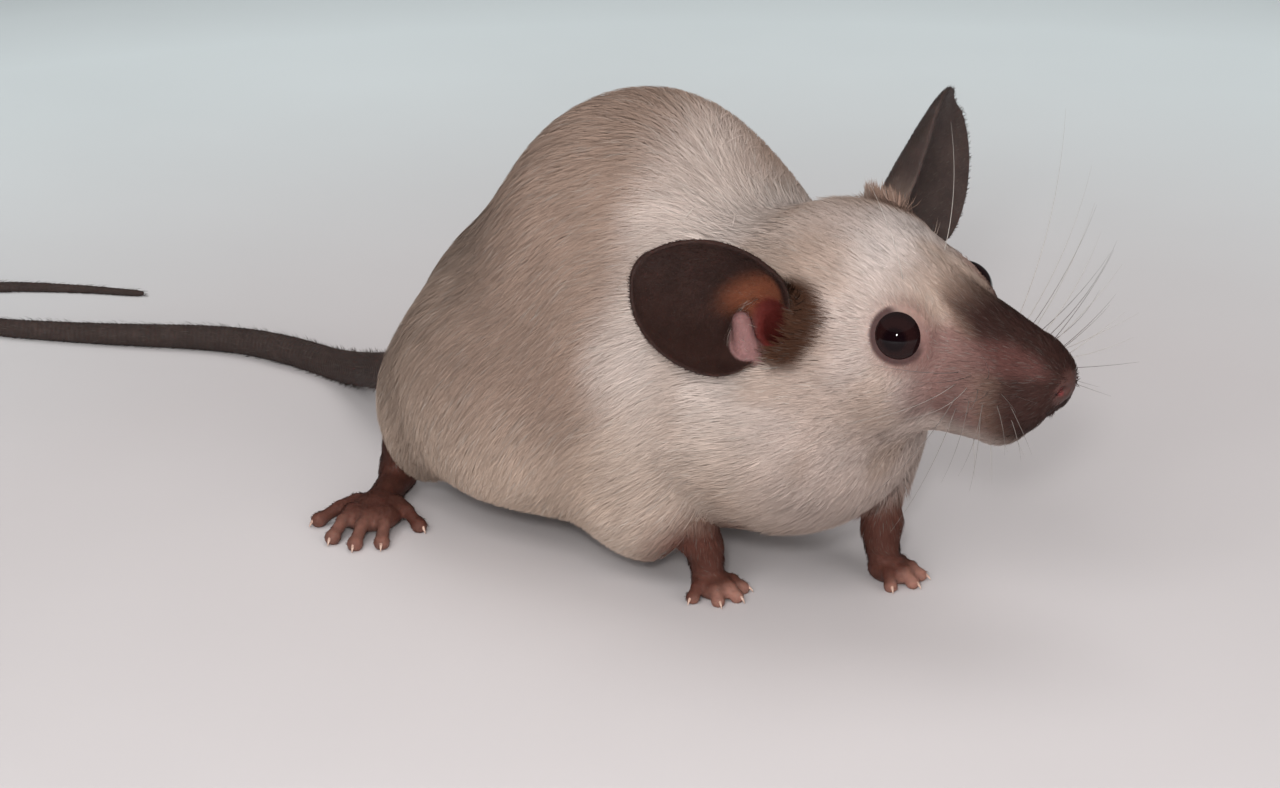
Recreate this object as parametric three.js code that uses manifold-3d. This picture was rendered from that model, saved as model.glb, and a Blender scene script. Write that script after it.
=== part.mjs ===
// A fancy mouse, life size, standing still on its four feet with its head turned a little to its
// left and its tail curled on the floor.
//
// Millimetres. +X runs from the rump to the nose, +Y to the animal's left, +Z up, floor at z = 0.
// Flesh is one rounded form, a smooth union of ellipsoids and tapers that includes the coat. The
// pieces are cast on that form: rays leave an axis inside it and stop where they meet its surface.

import * as THREE from 'three';
import { mergeVertices } from 'three/addons/utils/BufferGeometryUtils.js';
import Module from 'manifold-3d';

const wasm = await Module();
wasm.setup();

// ---------------------------------------------------------------- driving dimensions

const GAP = 0.3; // clearance between neighbouring pieces
const SIDES = { left: 1, right: -1 };
const degrees = Math.PI / 180;

// Trunk: ellipsoids of the arched back, each [centre, radii], melted together over TRUNK_MELT.
const TRUNK_MELT = 6;
const TRUNK = [
  [[-22.2, 0, 12.9], [11.8, 12, 11.3]], // rump
  [[-13.6, 0, 19.1], [12.4, 13, 15.6]], // loin, the top of the arch
  [[-5.5, 0, 15.6], [11.5, 11.8, 12.2]], // ribs
  [[3, 0, 15.3], [8.2, 9.5, 10]], // shoulders and chest
];
const HAUNCH = [[-19.9, 9.3, 11.2], [10.2, 5.8, 8.2]]; // left; the right one mirrors it
const FLANK = [[-11, 6, 8.8], [9, 5.4, 5.8]]; // left, where the belly sags beside the middle
const UPPER_ARMS = [ // with the elbows tucked under the ribs; the left one reaches forward
  [[1, 7.4, 10.4], [5.2, 3.8, 5.4]],
  [[-5.9, -7.9, 8], [4.4, 3.7, 5.9]],
];
const SHANKS = [ // the furred lower part of each hind leg; the right one stands further back
  [[-26.6, 9.4, 7.6], [3.8, 3.8, 5.4]],
  [[-28.6, -8.6, 7.6], [3.8, 3.8, 5.6]],
];
const LIMB_MELT = 4;
const THIGH_CUT = { at: [-20, 8, 12.5], normal: [-0.35, 0.9, -0.25] }; // parts the left thigh off

// Neck: a taper from the chest to the back of the skull, between two leaning planes.
const NECK_ROOT = [1, 0, 17.5];
const NECK_RADII = [8.6, 6.8];
const NECK_MELT = 5;
const NECK_LEAN = 30 * degrees; // how far the planes that part neck, trunk and head lean back
const NECK_START = 11.6; // distances of those planes from the origin
const NECK_END = 16.7;
const NECK_HEIGHT = 19;

// Head: its own frame has the origin between the eyes and +X through the nose.
const HEAD_AT = [12.9, 2, 23.6];
const HEAD_TURN = 9.5 * degrees; // to the animal's left
const HEAD_NOD = 3 * degrees; // nose down
const HEAD_TILT = 7 * degrees; // left side up
const NAPE = [-7, 0, -1.8]; // where the neck meets the skull, head frame
const HEAD_MELT = 3;
const CRANIUM = [[-6.5, 0, -0.8], [8, 7.4, 6.3]];
const CHEEK = [[-3.5, 3.4, -3.8], [6.5, 4.4, 4.9]];
const BRIDGE = { from: [0, 0, -1.4], to: [8, 0, -2.6], radii: [4.4, 2.7] };
const ORBIT = [[-0.4, 2.7, -0.3], [3.2, 2.3, 2.3]];
const WHISKER_PAD = [[5.8, 1.7, -4.4], [4.3, 2.6, 3]];
const JAW = { from: [-3, 0, -5.6], to: [5.6, 0, -6.7], radii: [4, 2.2] };
const NOSE = [[9.9, 0, -3], [1.5, 1.6, 1.5]];

// The longest whiskers of the left side, head frame: [x and z of the root, heading, length].
const WHISKERS = [
  [[4.6, -2.3], [0, 0.9, 0.8], 16],
  [[4.6, -3.2], [0, 0.95, 0.38], 16.5],
  [[6, -2.3], [0.25, 0.8, 0.8], 12.5],
  [[6, -3.2], [0.3, 0.85, 0.38], 12.5],
];
const WHISKER_CUT = [[5.4, 3, -2.9], [2.5, 1.6, 1.9]]; // left; parts what they grow from
const WHISKER_SWEEP = [-1.6, 0, 0.6]; // how far their tips bend back and up
const WHISKER_RADIUS = 0.3;
const WHISKER_ROOT = 0.8; // how deep their roots sit in the pad

const EYE_AT = [-0.2, 4.3, -0.4];
const EYE_RADIUS = 2.15;

// Ear: a thin cupped leaf. Its axis runs root to tip and its mouth is the way the cup faces, both
// given for a left ear; the right one mirrors its own set. The left ear is pricked further forward.
const EARS = {
  left: { root: [-9.1, 4.5, 0.9], axis: [0, 0.89, 0.46], mouth: [1, 0, 0] },
  right: { root: [-10.1, 6.3, -1.3], axis: [-0.19, 0.78, 0.6], mouth: [0.9, 0.42, -0.12] },
};
const EAR_LENGTH = 14.5;
const EAR_SPREAD = 11.7; // width of the leaf laid flat
const EAR_ROOT_SHARE = 0.38; // width at the root as a share of the spread
const EAR_WIDEST = 0.4; // where the leaf is widest, as a share of its length
const EAR_CURL = [134 * degrees, 36 * degrees]; // half the arc of its section, at root and tip
const EAR_UNROLL = 0.6; // below 1, the section opens faster near the root
const EAR_THICKNESS = 0.6;

// Legs: routes of the furred limbs, from inside the trunk down to the wrist or heel.
const WRIST_HEIGHT = 2.6;
const FORELEG = {
  left: [[3, 7, 14], [3.4, 6.9, 8.8], [4.9, 6, 5.4], [5.6, 5.3, WRIST_HEIGHT]],
  right: [[-2.6, -7.4, 14], [-3, -7.6, 9], [-2.2, -6.7, 5.6], [-1.7, -5.8, WRIST_HEIGHT]],
};
const FORELEG_RADII = [2.8, 2.4, 1.6, 1.15];
const FOREFOOT = {
  left: { wrist: [5.6, 5.3], turn: 14 * degrees },
  right: { wrist: [-1.7, -5.8], turn: -8 * degrees },
};
const HINDFOOT = {
  left: { heel: [-29.5, 9.6], turn: 14 * degrees, shank: [-27, 9.5, 11] },
  right: { heel: [-33.1, -7.7], turn: -57 * degrees, shank: [-29, -8.5, 11] },
};

// Toes, outermost first, in the foot's frame: [root, tip] with x ahead and y to the inner side.
const FINGERS = [
  [[0.7, -1], [1.2, -2.1]],
  [[1.6, -0.6], [2.8, -1]],
  [[1.6, 0.4], [3, 0.6]],
  [[1, 1], [1.9, 2]],
];
const FINGER_RADII = [0.62, 0.46];
const TOES = [
  [[6.6, -1.6], [9, -4]],
  [[8.8, -1.4], [12.2, -2]],
  [[9.2, 0], [13.1, 0]],
  [[8.9, 1.3], [12.4, 1.9]],
  [[6.4, 1.5], [8.5, 3.8]],
];
const TOE_RADII = [0.78, 0.56];
const CLAW_LENGTH = 1;
const DIGIT_PRESS = 0.8; // height of a toe's tip over the floor as a share of its radius

// Tail: it leaves the rump low down, comes down to the floor and curls back on itself there.
const TAIL_DROP = [[-27, 0, 9.5], [-34, 0, 7.9], [-40, 0.5, 6], [-45.3, 1.9, 4.2], [-50.8, 4.1, 2.4]];
const TAIL_FLOOR = [
  [-56, 5.5], [-61.3, 5.2], [-65.9, 4.2], [-69.8, 2.2], [-73.4, -0.4],
  [-77, -3], [-80.8, -5.5], [-84.8, -7.8], [-89.6, -9.2], [-94.3, -8.2], [-96.4, -4.8],
  [-94.4, -0.8], [-89.8, 3.6], [-84.2, 7.5],
];
const TAIL_RADII = [1.78, 0.28]; // at root and tip
const TAIL_PRESS = 0.86; // height of its middle over the floor as a share of its radius
const TAIL_LENGTHS = 5; // pieces that the tail is divided into
const TAIL_START = 0.08; // share of the route that lies inside the rump

// ---------------------------------------------------------------- rounded forms

const vector = (list) => new THREE.Vector3(...list);
const mirrored = (p) => new THREE.Vector3(p.x, Math.abs(p.y), p.z);
const lerp = THREE.MathUtils.lerp;

// Union of two distances that melts over a width.
function melt(a, b, width) {
  const share = THREE.MathUtils.clamp(0.5 + 0.5 * (b - a) / width, 0, 1);
  return lerp(b, a, share) - width * share * (1 - share);
}

// Distance of a point to an ellipsoid, close enough near its surface.
function ellipsoid(p, [centre, radii]) {
  const q = p.clone().sub(vector(centre));
  const near = q.clone().divide(vector(radii)).length();
  const steep = q.divide(vector(radii.map((r) => r * r))).length();
  return steep > 0 ? near * (near - 1) / steep : -Math.min(...radii);
}

// Distance of a point to a tapered limb with round ends.
function taper(p, { from, to, radii }) {
  const start = vector(from);
  const along = vector(to).sub(start);
  const offset = p.clone().sub(start);
  const share = THREE.MathUtils.clamp(offset.dot(along) / along.lengthSq(), 0, 1);
  return offset.addScaledVector(along, -share).length() - lerp(...radii, share);
}

// ---------------------------------------------------------------- frames

const mouse = new THREE.Group();

function frameAt(position, turn, nod = 0, tilt = 0) {
  const frame = new THREE.Group();
  frame.position.set(...position);
  frame.rotation.set(tilt, nod, turn, 'ZYX');
  mouse.add(frame);
  frame.updateMatrixWorld();
  return frame;
}

const headFrame = frameAt(HEAD_AT, HEAD_TURN, HEAD_NOD, HEAD_TILT);
const toHead = headFrame.matrixWorld.clone().invert();
const nape = vector(NAPE).applyMatrix4(headFrame.matrixWorld);

// ---------------------------------------------------------------- the animal's form

function trunkForm(p) {
  let d = TRUNK.map((blob) => ellipsoid(p, blob)).reduce((a, b) => melt(a, b, TRUNK_MELT));
  for (const part of [HAUNCH, FLANK]) d = melt(d, ellipsoid(mirrored(p), part), LIMB_MELT);
  for (const part of [...UPPER_ARMS, ...SHANKS]) d = melt(d, ellipsoid(p, part), LIMB_MELT);
  const neck = taper(p, { from: NECK_ROOT, to: nape.toArray(), radii: NECK_RADII });
  return melt(d, neck, NECK_MELT);
}

function headForm(q) {
  const m = mirrored(q);
  let d = ellipsoid(q, CRANIUM);
  d = melt(d, ellipsoid(m, CHEEK), 3);
  d = melt(d, taper(q, BRIDGE), 2.5);
  d = melt(d, ellipsoid(m, ORBIT), 1.5);
  d = melt(d, ellipsoid(m, WHISKER_PAD), 1.5);
  d = melt(d, taper(q, JAW), 2);
  return melt(d, ellipsoid(q, NOSE), 1);
}

function bodyForm(p) {
  return melt(trunkForm(p), headForm(p.clone().applyMatrix4(toHead)), HEAD_MELT);
}

// The same form, asked for in the head's frame.
function bodyFromHead(q) {
  return bodyForm(q.clone().applyMatrix4(headFrame.matrixWorld));
}

// ---------------------------------------------------------------- solids

const solidOf = (positions, triangles) => new wasm.Manifold(new wasm.Mesh({
  numProp: 3,
  vertProperties: new Float32Array(positions),
  triVerts: new Uint32Array(triangles),
}));

// A three.js shape as a solid, placed by a matrix.
function solidFrom(geometry, matrix = new THREE.Matrix4()) {
  const bare = geometry.clone().applyMatrix4(matrix);
  bare.deleteAttribute('normal');
  bare.deleteAttribute('uv');
  const merged = mergeVertices(bare);
  return solidOf(merged.attributes.position.array, merged.index.array);
}

// Closed body through a row of rings, each turning the right-hand way about the way ahead.
function closeRings(rings, first, last) {
  const sides = rings[0].length;
  const points = [...rings.flat(), first, last];
  const firstIndex = points.length - 2;
  const lastIndex = points.length - 1;
  const end = (rings.length - 1) * sides;
  const triangles = [];
  for (let j = 0; j < sides; j++) {
    const next = (j + 1) % sides;
    triangles.push(firstIndex, next, j);
    for (let row = 0; row < end; row += sides) {
      triangles.push(row + j, row + next, row + sides + next);
      triangles.push(row + j, row + sides + next, row + sides + j);
    }
    triangles.push(lastIndex, end + j, end + next);
  }
  return solidOf(points.flatMap((p) => p.toArray()), triangles);
}

// Right and up, square to a heading.
function squareTo(ahead) {
  const right = new THREE.Vector3().crossVectors(ahead, new THREE.Vector3(0, 0, 1)).normalize();
  return { right, up: new THREE.Vector3().crossVectors(right, ahead) };
}

function spoke({ right, up }, angle) {
  return up.clone().multiplyScalar(Math.cos(angle)).addScaledVector(right, Math.sin(angle));
}

// Where a ray that starts inside a form meets its surface.
function reach(form, start, heading, level, limit) {
  const step = 0.5;
  const at = (t) => start.clone().addScaledVector(heading, t);
  let far = step;
  while (far < limit && form(at(far)) < level) far += step;
  let near = far - step;
  for (let i = 0; i < 14; i++) {
    const middle = (near + far) / 2;
    if (form(at(middle)) < level) near = middle;
    else far = middle;
  }
  return at(Math.min(near, limit));
}

// A body cast on a form round a straight axis. The caps fan over the ends of the axis, and cap 0
// leaves the ends flat. A level above 0 casts it that much larger.
function cast(form, from, to, { sides, barrel, cap, level = 0, limit = 40 }) {
  const axis = new THREE.LineCurve3(vector(from), vector(to));
  const ahead = axis.getTangent(0);
  const square = squareTo(ahead);
  const ring = (share, lean) => Array.from({ length: sides }, (_, j) => {
    const heading = spoke(square, 2 * Math.PI * j / sides).multiplyScalar(Math.cos(lean));
    heading.addScaledVector(ahead, Math.sin(lean));
    return reach(form, axis.getPoint(share), heading, level, limit);
  });
  const rings = [];
  for (let i = 1; i < cap; i++) rings.push(ring(0, -Math.PI / 2 * (1 - i / cap)));
  for (let i = 0; i <= barrel; i++) rings.push(ring(i / barrel, 0));
  for (let i = 1; i < cap; i++) rings.push(ring(1, Math.PI / 2 * i / cap));
  if (cap === 0) return closeRings(rings, axis.getPoint(0), axis.getPoint(1));
  const tail = reach(form, axis.getPoint(0), ahead.clone().negate(), level, limit);
  return closeRings(rings, tail, reach(form, axis.getPoint(1), ahead, level, limit));
}

// A round tube along a curve, from one share of it to another.
function tube(curve, radiusAt, from, to, steps, sides) {
  const rings = [];
  for (let i = 0; i <= steps; i++) {
    const share = lerp(from, to, i / steps);
    const square = squareTo(curve.getTangentAt(share));
    const centre = curve.getPointAt(share);
    rings.push(Array.from({ length: sides }, (_, j) => (
      centre.clone().addScaledVector(spoke(square, 2 * Math.PI * (j + 0.5) / sides), radiusAt(share))
    )));
  }
  return closeRings(rings, curve.getPointAt(from), curve.getPointAt(to));
}

// A tapered limb with round ends, turned on a lathe and laid from one point to another.
function limb(from, to, radii, sides, arcs = 2) {
  const start = vector(from);
  const along = vector(to).sub(start);
  const profile = [];
  for (let i = 0; i <= arcs; i++) {
    const a = Math.PI / 2 * (i / arcs - 1);
    profile.push(new THREE.Vector2(radii[0] * Math.cos(a), radii[0] * Math.sin(a)));
  }
  for (let i = 0; i <= arcs; i++) {
    const a = Math.PI / 2 * i / arcs;
    profile.push(new THREE.Vector2(radii[1] * Math.cos(a), along.length() + radii[1] * Math.sin(a)));
  }
  profile[0].x = 0;
  profile[profile.length - 1].x = 0;
  const turn = new THREE.Quaternion();
  turn.setFromUnitVectors(new THREE.Vector3(0, 1, 0), along.clone().normalize());
  const matrix = new THREE.Matrix4().compose(start, turn, new THREE.Vector3(1, 1, 1));
  return solidFrom(new THREE.LatheGeometry(profile, sides), matrix);
}

function ball([centre, radii], grow, fine) {
  const size = vector(radii).addScalar(grow);
  const matrix = new THREE.Matrix4().compose(vector(centre), new THREE.Quaternion(), size);
  return solidFrom(new THREE.SphereGeometry(1, fine, fine * 0.75), matrix);
}

// The half of space ahead of a plane.
function ahead(point, normal) {
  const span = 400;
  const turn = new THREE.Quaternion();
  turn.setFromUnitVectors(new THREE.Vector3(1, 0, 0), normal);
  const centre = point.clone().addScaledVector(normal, span / 2);
  const matrix = new THREE.Matrix4().compose(centre, turn, new THREE.Vector3(1, 1, 1));
  return solidFrom(new THREE.BoxGeometry(span, span, span), matrix);
}

const UP = new THREE.Vector3(0, 0, 1);
const DOWN = new THREE.Vector3(0, 0, -1);
const belowFloor = ahead(new THREE.Vector3(), DOWN);
const joined = (solids) => solids.reduce((a, b) => a.add(b));
const seenFrom = (frame, solid) => solid.transform(frame.matrixWorld.clone().invert().elements);

function place(name, solid, color, roughness = 0.8, frame = mouse) {
  const mesh = solid.getMesh();
  const geometry = new THREE.BufferGeometry();
  geometry.setAttribute('position', new THREE.BufferAttribute(mesh.vertProperties, 3));
  geometry.setIndex(new THREE.BufferAttribute(mesh.triVerts, 1));
  const material = new THREE.MeshStandardMaterial({ color, roughness, metalness: 0 });
  const piece = new THREE.Mesh(geometry, material);
  piece.name = name;
  frame.add(piece);
}

const COAT = { saddle: 0x8c786d, haunch: 0x947f73, collar: 0xb9aea5, face: 0xa89b92 };
const POINTS = { ear: 0x38261f, limb: 0x4c3732, foot: 0x8a6258, tail: 0x362b29 };
const EYE_COLOR = 0x1c1214;

// ---------------------------------------------------------------- trunk, thighs and neck

const lean = new THREE.Vector3(Math.cos(NECK_LEAN), 0, Math.sin(NECK_LEAN));
const aheadOf = (distance) => ahead(lean.clone().multiplyScalar(distance), lean);

const torsoAxis = [[-24, 0, 14.5], [3, 0, 16]];
const torsoCut = { sides: 26, barrel: 12, cap: 5 };
const torso = cast(bodyForm, ...torsoAxis, torsoCut);
const torsoGrown = cast(bodyForm, ...torsoAxis, { ...torsoCut, level: GAP });

const neckMiddle = (NECK_START + NECK_END) / 2;
const neckCentre = new THREE.Vector3((neckMiddle - NECK_HEIGHT * lean.z) / lean.x, 0, NECK_HEIGHT);
const neckEnd = (way, grow) => neckCentre.clone()
  .addScaledVector(lean, way * ((NECK_END - NECK_START) / 2 + grow)).toArray();
const neckCut = { sides: 28, barrel: 3, cap: 0 };
const neck = cast(bodyForm, neckEnd(-1, -GAP / 2), neckEnd(1, -GAP / 2), neckCut);
const neckGrown = cast(bodyForm, neckEnd(-1, GAP), neckEnd(1, GAP), { ...neckCut, level: GAP });

const thighSide = (side, clear) => {
  const flip = new THREE.Vector3(1, side, 1);
  const normal = vector(THIGH_CUT.normal).normalize().multiply(flip);
  const at = vector(THIGH_CUT.at).multiply(flip).addScaledVector(normal, clear);
  return ahead(at, normal);
};
let trunk = torso.subtract(aheadOf(NECK_START - GAP / 2));
for (const [name, side] of Object.entries(SIDES)) {
  place(`thigh_${name}`, torso.intersect(thighSide(side, GAP / 2)), COAT.haunch);
  trunk = trunk.subtract(thighSide(side, -GAP / 2));
}
place('trunk', trunk, COAT.saddle);
place('neck', neck, COAT.collar);

// ---------------------------------------------------------------- head, eyes and ears

const headAxis = [[-7, 0, -2], [6.5, 0, -3.8]];
const headCut = { sides: 24, barrel: 11, cap: 6, limit: 13 };
const headWhole = cast(bodyFromHead, ...headAxis, headCut);
const headGrown = cast(bodyFromHead, ...headAxis, { ...headCut, level: GAP });
const nearNeck = seenFrom(headFrame, aheadOf(NECK_END + GAP / 2));
let head = headWhole.intersect(nearNeck);

// One ear as rings of a thin crescent: out along its back, and home along its inside.
function ear(name, side) {
  const axis = vector(EARS[name].axis).normalize();
  const mouth = vector(EARS[name].mouth).projectOnPlane(axis).normalize();
  const across = new THREE.Vector3().crossVectors(mouth, axis);
  const steps = 10;
  const arcs = 8;
  const spot = (share, angle, radius, depth) => {
    const p = vector(EARS[name].root).addScaledVector(axis, share * EAR_LENGTH);
    p.addScaledVector(across, radius * Math.sin(angle));
    p.addScaledVector(mouth, depth - radius * Math.cos(angle));
    return new THREE.Vector3(p.x, p.y * side, p.z);
  };
  const halfWidth = (share) => {
    const round = Math.max(0, (share - EAR_WIDEST) / (1 - EAR_WIDEST));
    const root = lerp(EAR_ROOT_SHARE, 1, Math.sin(Math.PI / 2 * Math.min(1, share / EAR_WIDEST)));
    return EAR_SPREAD / 2 * root * Math.sqrt(1 - round ** 2);
  };
  const rings = [];
  for (let i = 0; i < steps; i++) {
    const share = 0.985 * Math.sin(Math.PI / 2 * i / (steps - 1));
    const curl = lerp(...EAR_CURL, share ** EAR_UNROLL);
    const radius = halfWidth(share) / curl;
    const back = [];
    const inside = [];
    for (let j = 0; j <= arcs; j++) {
      const turn = curl * (2 * j / arcs - 1);
      const thin = EAR_THICKNESS * lerp(1, 0.5, Math.abs(2 * j / arcs - 1) ** 2);
      back.push(spot(share, turn, radius + thin / 2, radius));
      inside.unshift(spot(share, turn, Math.max(radius - thin / 2, 0.2), radius));
    }
    const ring = [...back, ...inside];
    rings.push(side > 0 ? ring : ring.reverse());
  }
  return closeRings(rings, spot(0, 0, 0, 0), spot(1, 0, 0, 0));
}

function whisker([[x, z], [forward, out, rise], length], side) {
  const outward = new THREE.Vector3(0, side, 0);
  const root = reach(bodyFromHead, new THREE.Vector3(x, 0, z), outward, 0, 6);
  const heading = new THREE.Vector3(forward, out * side, rise).normalize();
  const at = (distance) => root.clone().addScaledVector(heading, distance);
  const tip = at(length).add(vector(WHISKER_SWEEP));
  const curve = new THREE.QuadraticBezierCurve3(at(-WHISKER_ROOT), at(length / 2), tip);
  return tube(curve, () => WHISKER_RADIUS, 0, 1, 3, 6);
}

for (const [name, side] of Object.entries(SIDES)) {
  const [[x, y, z], radii] = WHISKER_CUT;
  const cut = (grow) => ball([[x, y * side, z], radii], grow, 8);
  const hairs = WHISKERS.map((row) => whisker(row, side));
  const pad = joined([headWhole.intersect(cut(-GAP / 2)), ...hairs]);
  place(`whiskers_${name}`, pad, COAT.face, 0.8, headFrame);
  head = head.subtract(cut(GAP / 2));
  const eye = [[EYE_AT[0], EYE_AT[1] * side, EYE_AT[2]], [EYE_RADIUS, EYE_RADIUS, EYE_RADIUS]];
  head = head.subtract(ball(eye, GAP / 2, 12));
  place(`eye_${name}`, ball(eye, 0, 12), EYE_COLOR, 0.1, headFrame);
  const free = ear(name, side).subtract(headGrown).subtract(seenFrom(headFrame, neckGrown));
  place(`ear_${name}`, free, POINTS.ear, 0.6, headFrame);
}
place('head', head, COAT.face, 0.8, headFrame);

// ---------------------------------------------------------------- legs and feet

// A toe or finger, resting on the floor at its tip, with its claw.
function digit([root, tip], radii, side) {
  const from = [root[0], root[1] * side, radii[0] + 0.35];
  const to = [tip[0], tip[1] * side, radii[1] * DIGIT_PRESS];
  const run = vector(to).sub(vector(from)).normalize();
  const claw = vector(to).addScaledVector(run, radii[1] + CLAW_LENGTH / 2);
  return limb(from, to, radii, 6).add(limb(to, [claw.x, claw.y, 0.22], [radii[1] * 0.62, 0.14], 4, 1));
}

function foreleg(name) {
  const route = new THREE.CatmullRomCurve3(FORELEG[name].map(vector));
  const radius = (share) => {
    const spot = share * (FORELEG_RADII.length - 1);
    const i = Math.min(Math.floor(spot), FORELEG_RADII.length - 2);
    return lerp(FORELEG_RADII[i], FORELEG_RADII[i + 1], spot - i);
  };
  const whole = tube(route, radius, 0, 1, 9, 10).subtract(torsoGrown).subtract(neckGrown);
  return whole.intersect(ahead(new THREE.Vector3(0, 0, WRIST_HEIGHT + GAP / 2), UP));
}

function forefoot(name, side) {
  const { wrist, turn } = FOREFOOT[name];
  const frame = frameAt([...wrist, 0], turn);
  const top = FORELEG_RADII[FORELEG_RADII.length - 1];
  const pieces = [
    limb([0, 0, WRIST_HEIGHT + 1], [0.3, 0, 1.4], [top, 1.2], 8, 1),
    ball([[1, 0, 0.7], [1.9, 1.5, 0.95]], 0, 8),
  ];
  for (const finger of FINGERS) pieces.push(digit(finger, FINGER_RADII, side));
  let foot = joined(pieces).subtract(belowFloor);
  foot = foot.intersect(ahead(new THREE.Vector3(0, 0, WRIST_HEIGHT - GAP / 2), DOWN));
  place(`forefoot_${name}`, foot, POINTS.foot, 0.6, frame);
}

function hindfoot(name, side) {
  const { heel, turn, shank } = HINDFOOT[name];
  const frame = frameAt([...heel, 0], turn);
  const hock = vector(shank).applyMatrix4(frame.matrixWorld.clone().invert()).toArray();
  const pieces = [
    limb(hock, [0.2, 0, 1.9], [2.6, 1.5], 8, 1),
    limb([0, 0, 1.2], [7.2, 0, 1], [1.35, 1.2], 8, 1),
    ball([[8, 0, 0.95], [2.8, 2.4, 1.1]], 0, 10),
  ];
  for (const toe of TOES) pieces.push(digit(toe, TOE_RADII, side));
  const foot = joined(pieces).subtract(belowFloor).subtract(seenFrom(frame, torsoGrown));
  place(`hindfoot_${name}`, foot, POINTS.foot, 0.6, frame);
}

for (const [name, side] of Object.entries(SIDES)) {
  place(`foreleg_${name}`, foreleg(name), POINTS.limb);
  forefoot(name, -side);
  hindfoot(name, -side);
}

// ---------------------------------------------------------------- tail

const tailRadius = (share) => lerp(...TAIL_RADII, share);
const tailPoints = [...TAIL_DROP, ...TAIL_FLOOR].map(([x, y, z], i, all) => (
  new THREE.Vector3(x, y, z ?? TAIL_PRESS * tailRadius(i / (all.length - 1)))
));
const tailRoute = new THREE.CatmullRomCurve3(tailPoints, false, 'centripetal');
const tailPiece = (1 - TAIL_START) / TAIL_LENGTHS;
const tailGap = GAP / 2 / tailRoute.getLength();
for (let i = 0; i < TAIL_LENGTHS; i++) {
  const from = i === 0 ? 0 : TAIL_START + i * tailPiece + tailGap;
  const to = TAIL_START + (i + 1) * tailPiece - tailGap;
  const whole = tube(tailRoute, tailRadius, from, Math.min(to, 1), i === 0 ? 7 : 6, 8);
  place(`tail_${i + 1}`, whole.subtract(belowFloor).subtract(torsoGrown), POINTS.tail, 0.7);
}

// The origin is on the floor under the middle of the whole animal.
const bounds = new THREE.Box3().setFromObject(mouse, true);
const middle = bounds.getCenter(new THREE.Vector3());
mouse.position.set(-middle.x, -middle.y, 0);
mouse.updateMatrixWorld();

export default mouse;
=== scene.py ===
"""A live fancy mouse with dark points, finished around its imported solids.

The body is worked out in its own frame, in millimetres: +X from rump to nose, +Y to the animal's
left, +Z up, floor at z = 0. The form is the same smooth union of rounded shapes that the solids
were cast on, and stands for the tips of the coat. The skin lies under it by the coat's depth, is
meshed from a distance function, and carries the coat as thin mesh blades.
"""

import bmesh
import bpy
import numpy as np
import openvdb
from mathutils import Matrix, Vector


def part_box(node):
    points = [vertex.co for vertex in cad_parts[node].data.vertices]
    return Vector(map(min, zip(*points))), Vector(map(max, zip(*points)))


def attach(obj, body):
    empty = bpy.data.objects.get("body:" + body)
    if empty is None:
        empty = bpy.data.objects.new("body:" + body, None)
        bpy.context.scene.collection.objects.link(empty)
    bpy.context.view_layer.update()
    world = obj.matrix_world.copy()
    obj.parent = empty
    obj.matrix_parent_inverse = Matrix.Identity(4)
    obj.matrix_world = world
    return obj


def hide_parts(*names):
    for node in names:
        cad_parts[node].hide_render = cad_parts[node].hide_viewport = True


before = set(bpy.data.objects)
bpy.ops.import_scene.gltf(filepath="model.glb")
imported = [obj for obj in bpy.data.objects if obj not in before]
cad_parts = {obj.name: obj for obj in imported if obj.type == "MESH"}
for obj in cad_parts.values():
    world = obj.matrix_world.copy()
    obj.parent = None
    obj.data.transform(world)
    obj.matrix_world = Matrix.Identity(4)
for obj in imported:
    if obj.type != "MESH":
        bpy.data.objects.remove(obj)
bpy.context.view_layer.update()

# ---- the animal's sizes, millimetres

SIDES = {"left": 1, "right": -1}
FAR_AWAY = 99  # a distance that is more than any here

TRUNK_MELT = 6
TRUNK = [
    ((-22.2, 0, 12.9), (11.8, 12, 11.3)),  # rump
    ((-13.6, 0, 19.1), (12.4, 13, 15.6)),  # loin, the top of the arch
    ((-5.5, 0, 15.6), (11.5, 11.8, 12.2)),  # ribs
    ((3, 0, 15.3), (8.2, 9.5, 10)),  # shoulders and chest
]
HAUNCH = ((-19.9, 9.3, 11.2), (10.2, 5.8, 8.2))  # left; the right one mirrors it
FLANK = ((-11, 6, 8.8), (9, 5.4, 5.8))
UPPER_ARMS = [((1, 7.4, 10.4), (5.2, 3.8, 5.4)), ((-5.9, -7.9, 8), (4.4, 3.7, 5.9))]
SHANKS = [((-26.6, 9.4, 7.6), (3.8, 3.8, 5.4)), ((-28.6, -8.6, 7.6), (3.8, 3.8, 5.6))]
LIMB_MELT = 4

NECK_ROOT = (1, 0, 17.5)
NECK_RADII = (8.6, 6.8)
NECK_MELT = 5
NECK_SEAM = 12.5  # distance from the origin of the plane where the fine mesh of the head starts
NECK_LEAN = np.radians(30)  # how far that plane leans back

HEAD_AT = np.array([12.9, 2, 23.6])
HEAD_TURN, HEAD_NOD, HEAD_TILT = np.radians([9.5, 3, 7])
HEAD_MELT = 3
NAPE = (-7, 0, -1.8)
CRANIUM = ((-6.5, 0, -0.8), (8, 7.4, 6.3))
CHEEK = ((-3.5, 3.4, -3.8), (6.5, 4.4, 4.9))
BRIDGE = ((0, 0, -1.4), (8, 0, -2.6), (4.4, 2.7))
ORBIT = ((-0.4, 2.5, -0.4), (3.1, 2.1, 2.1))
WHISKER_PAD = ((5.8, 1.7, -4.4), (4.3, 2.6, 3))
JAW = ((-3, 0, -5.6), (5.6, 0, -6.7), (4, 2.2))
NOSE = ((9.9, 0, -3), (1.5, 1.6, 1.5))

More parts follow.
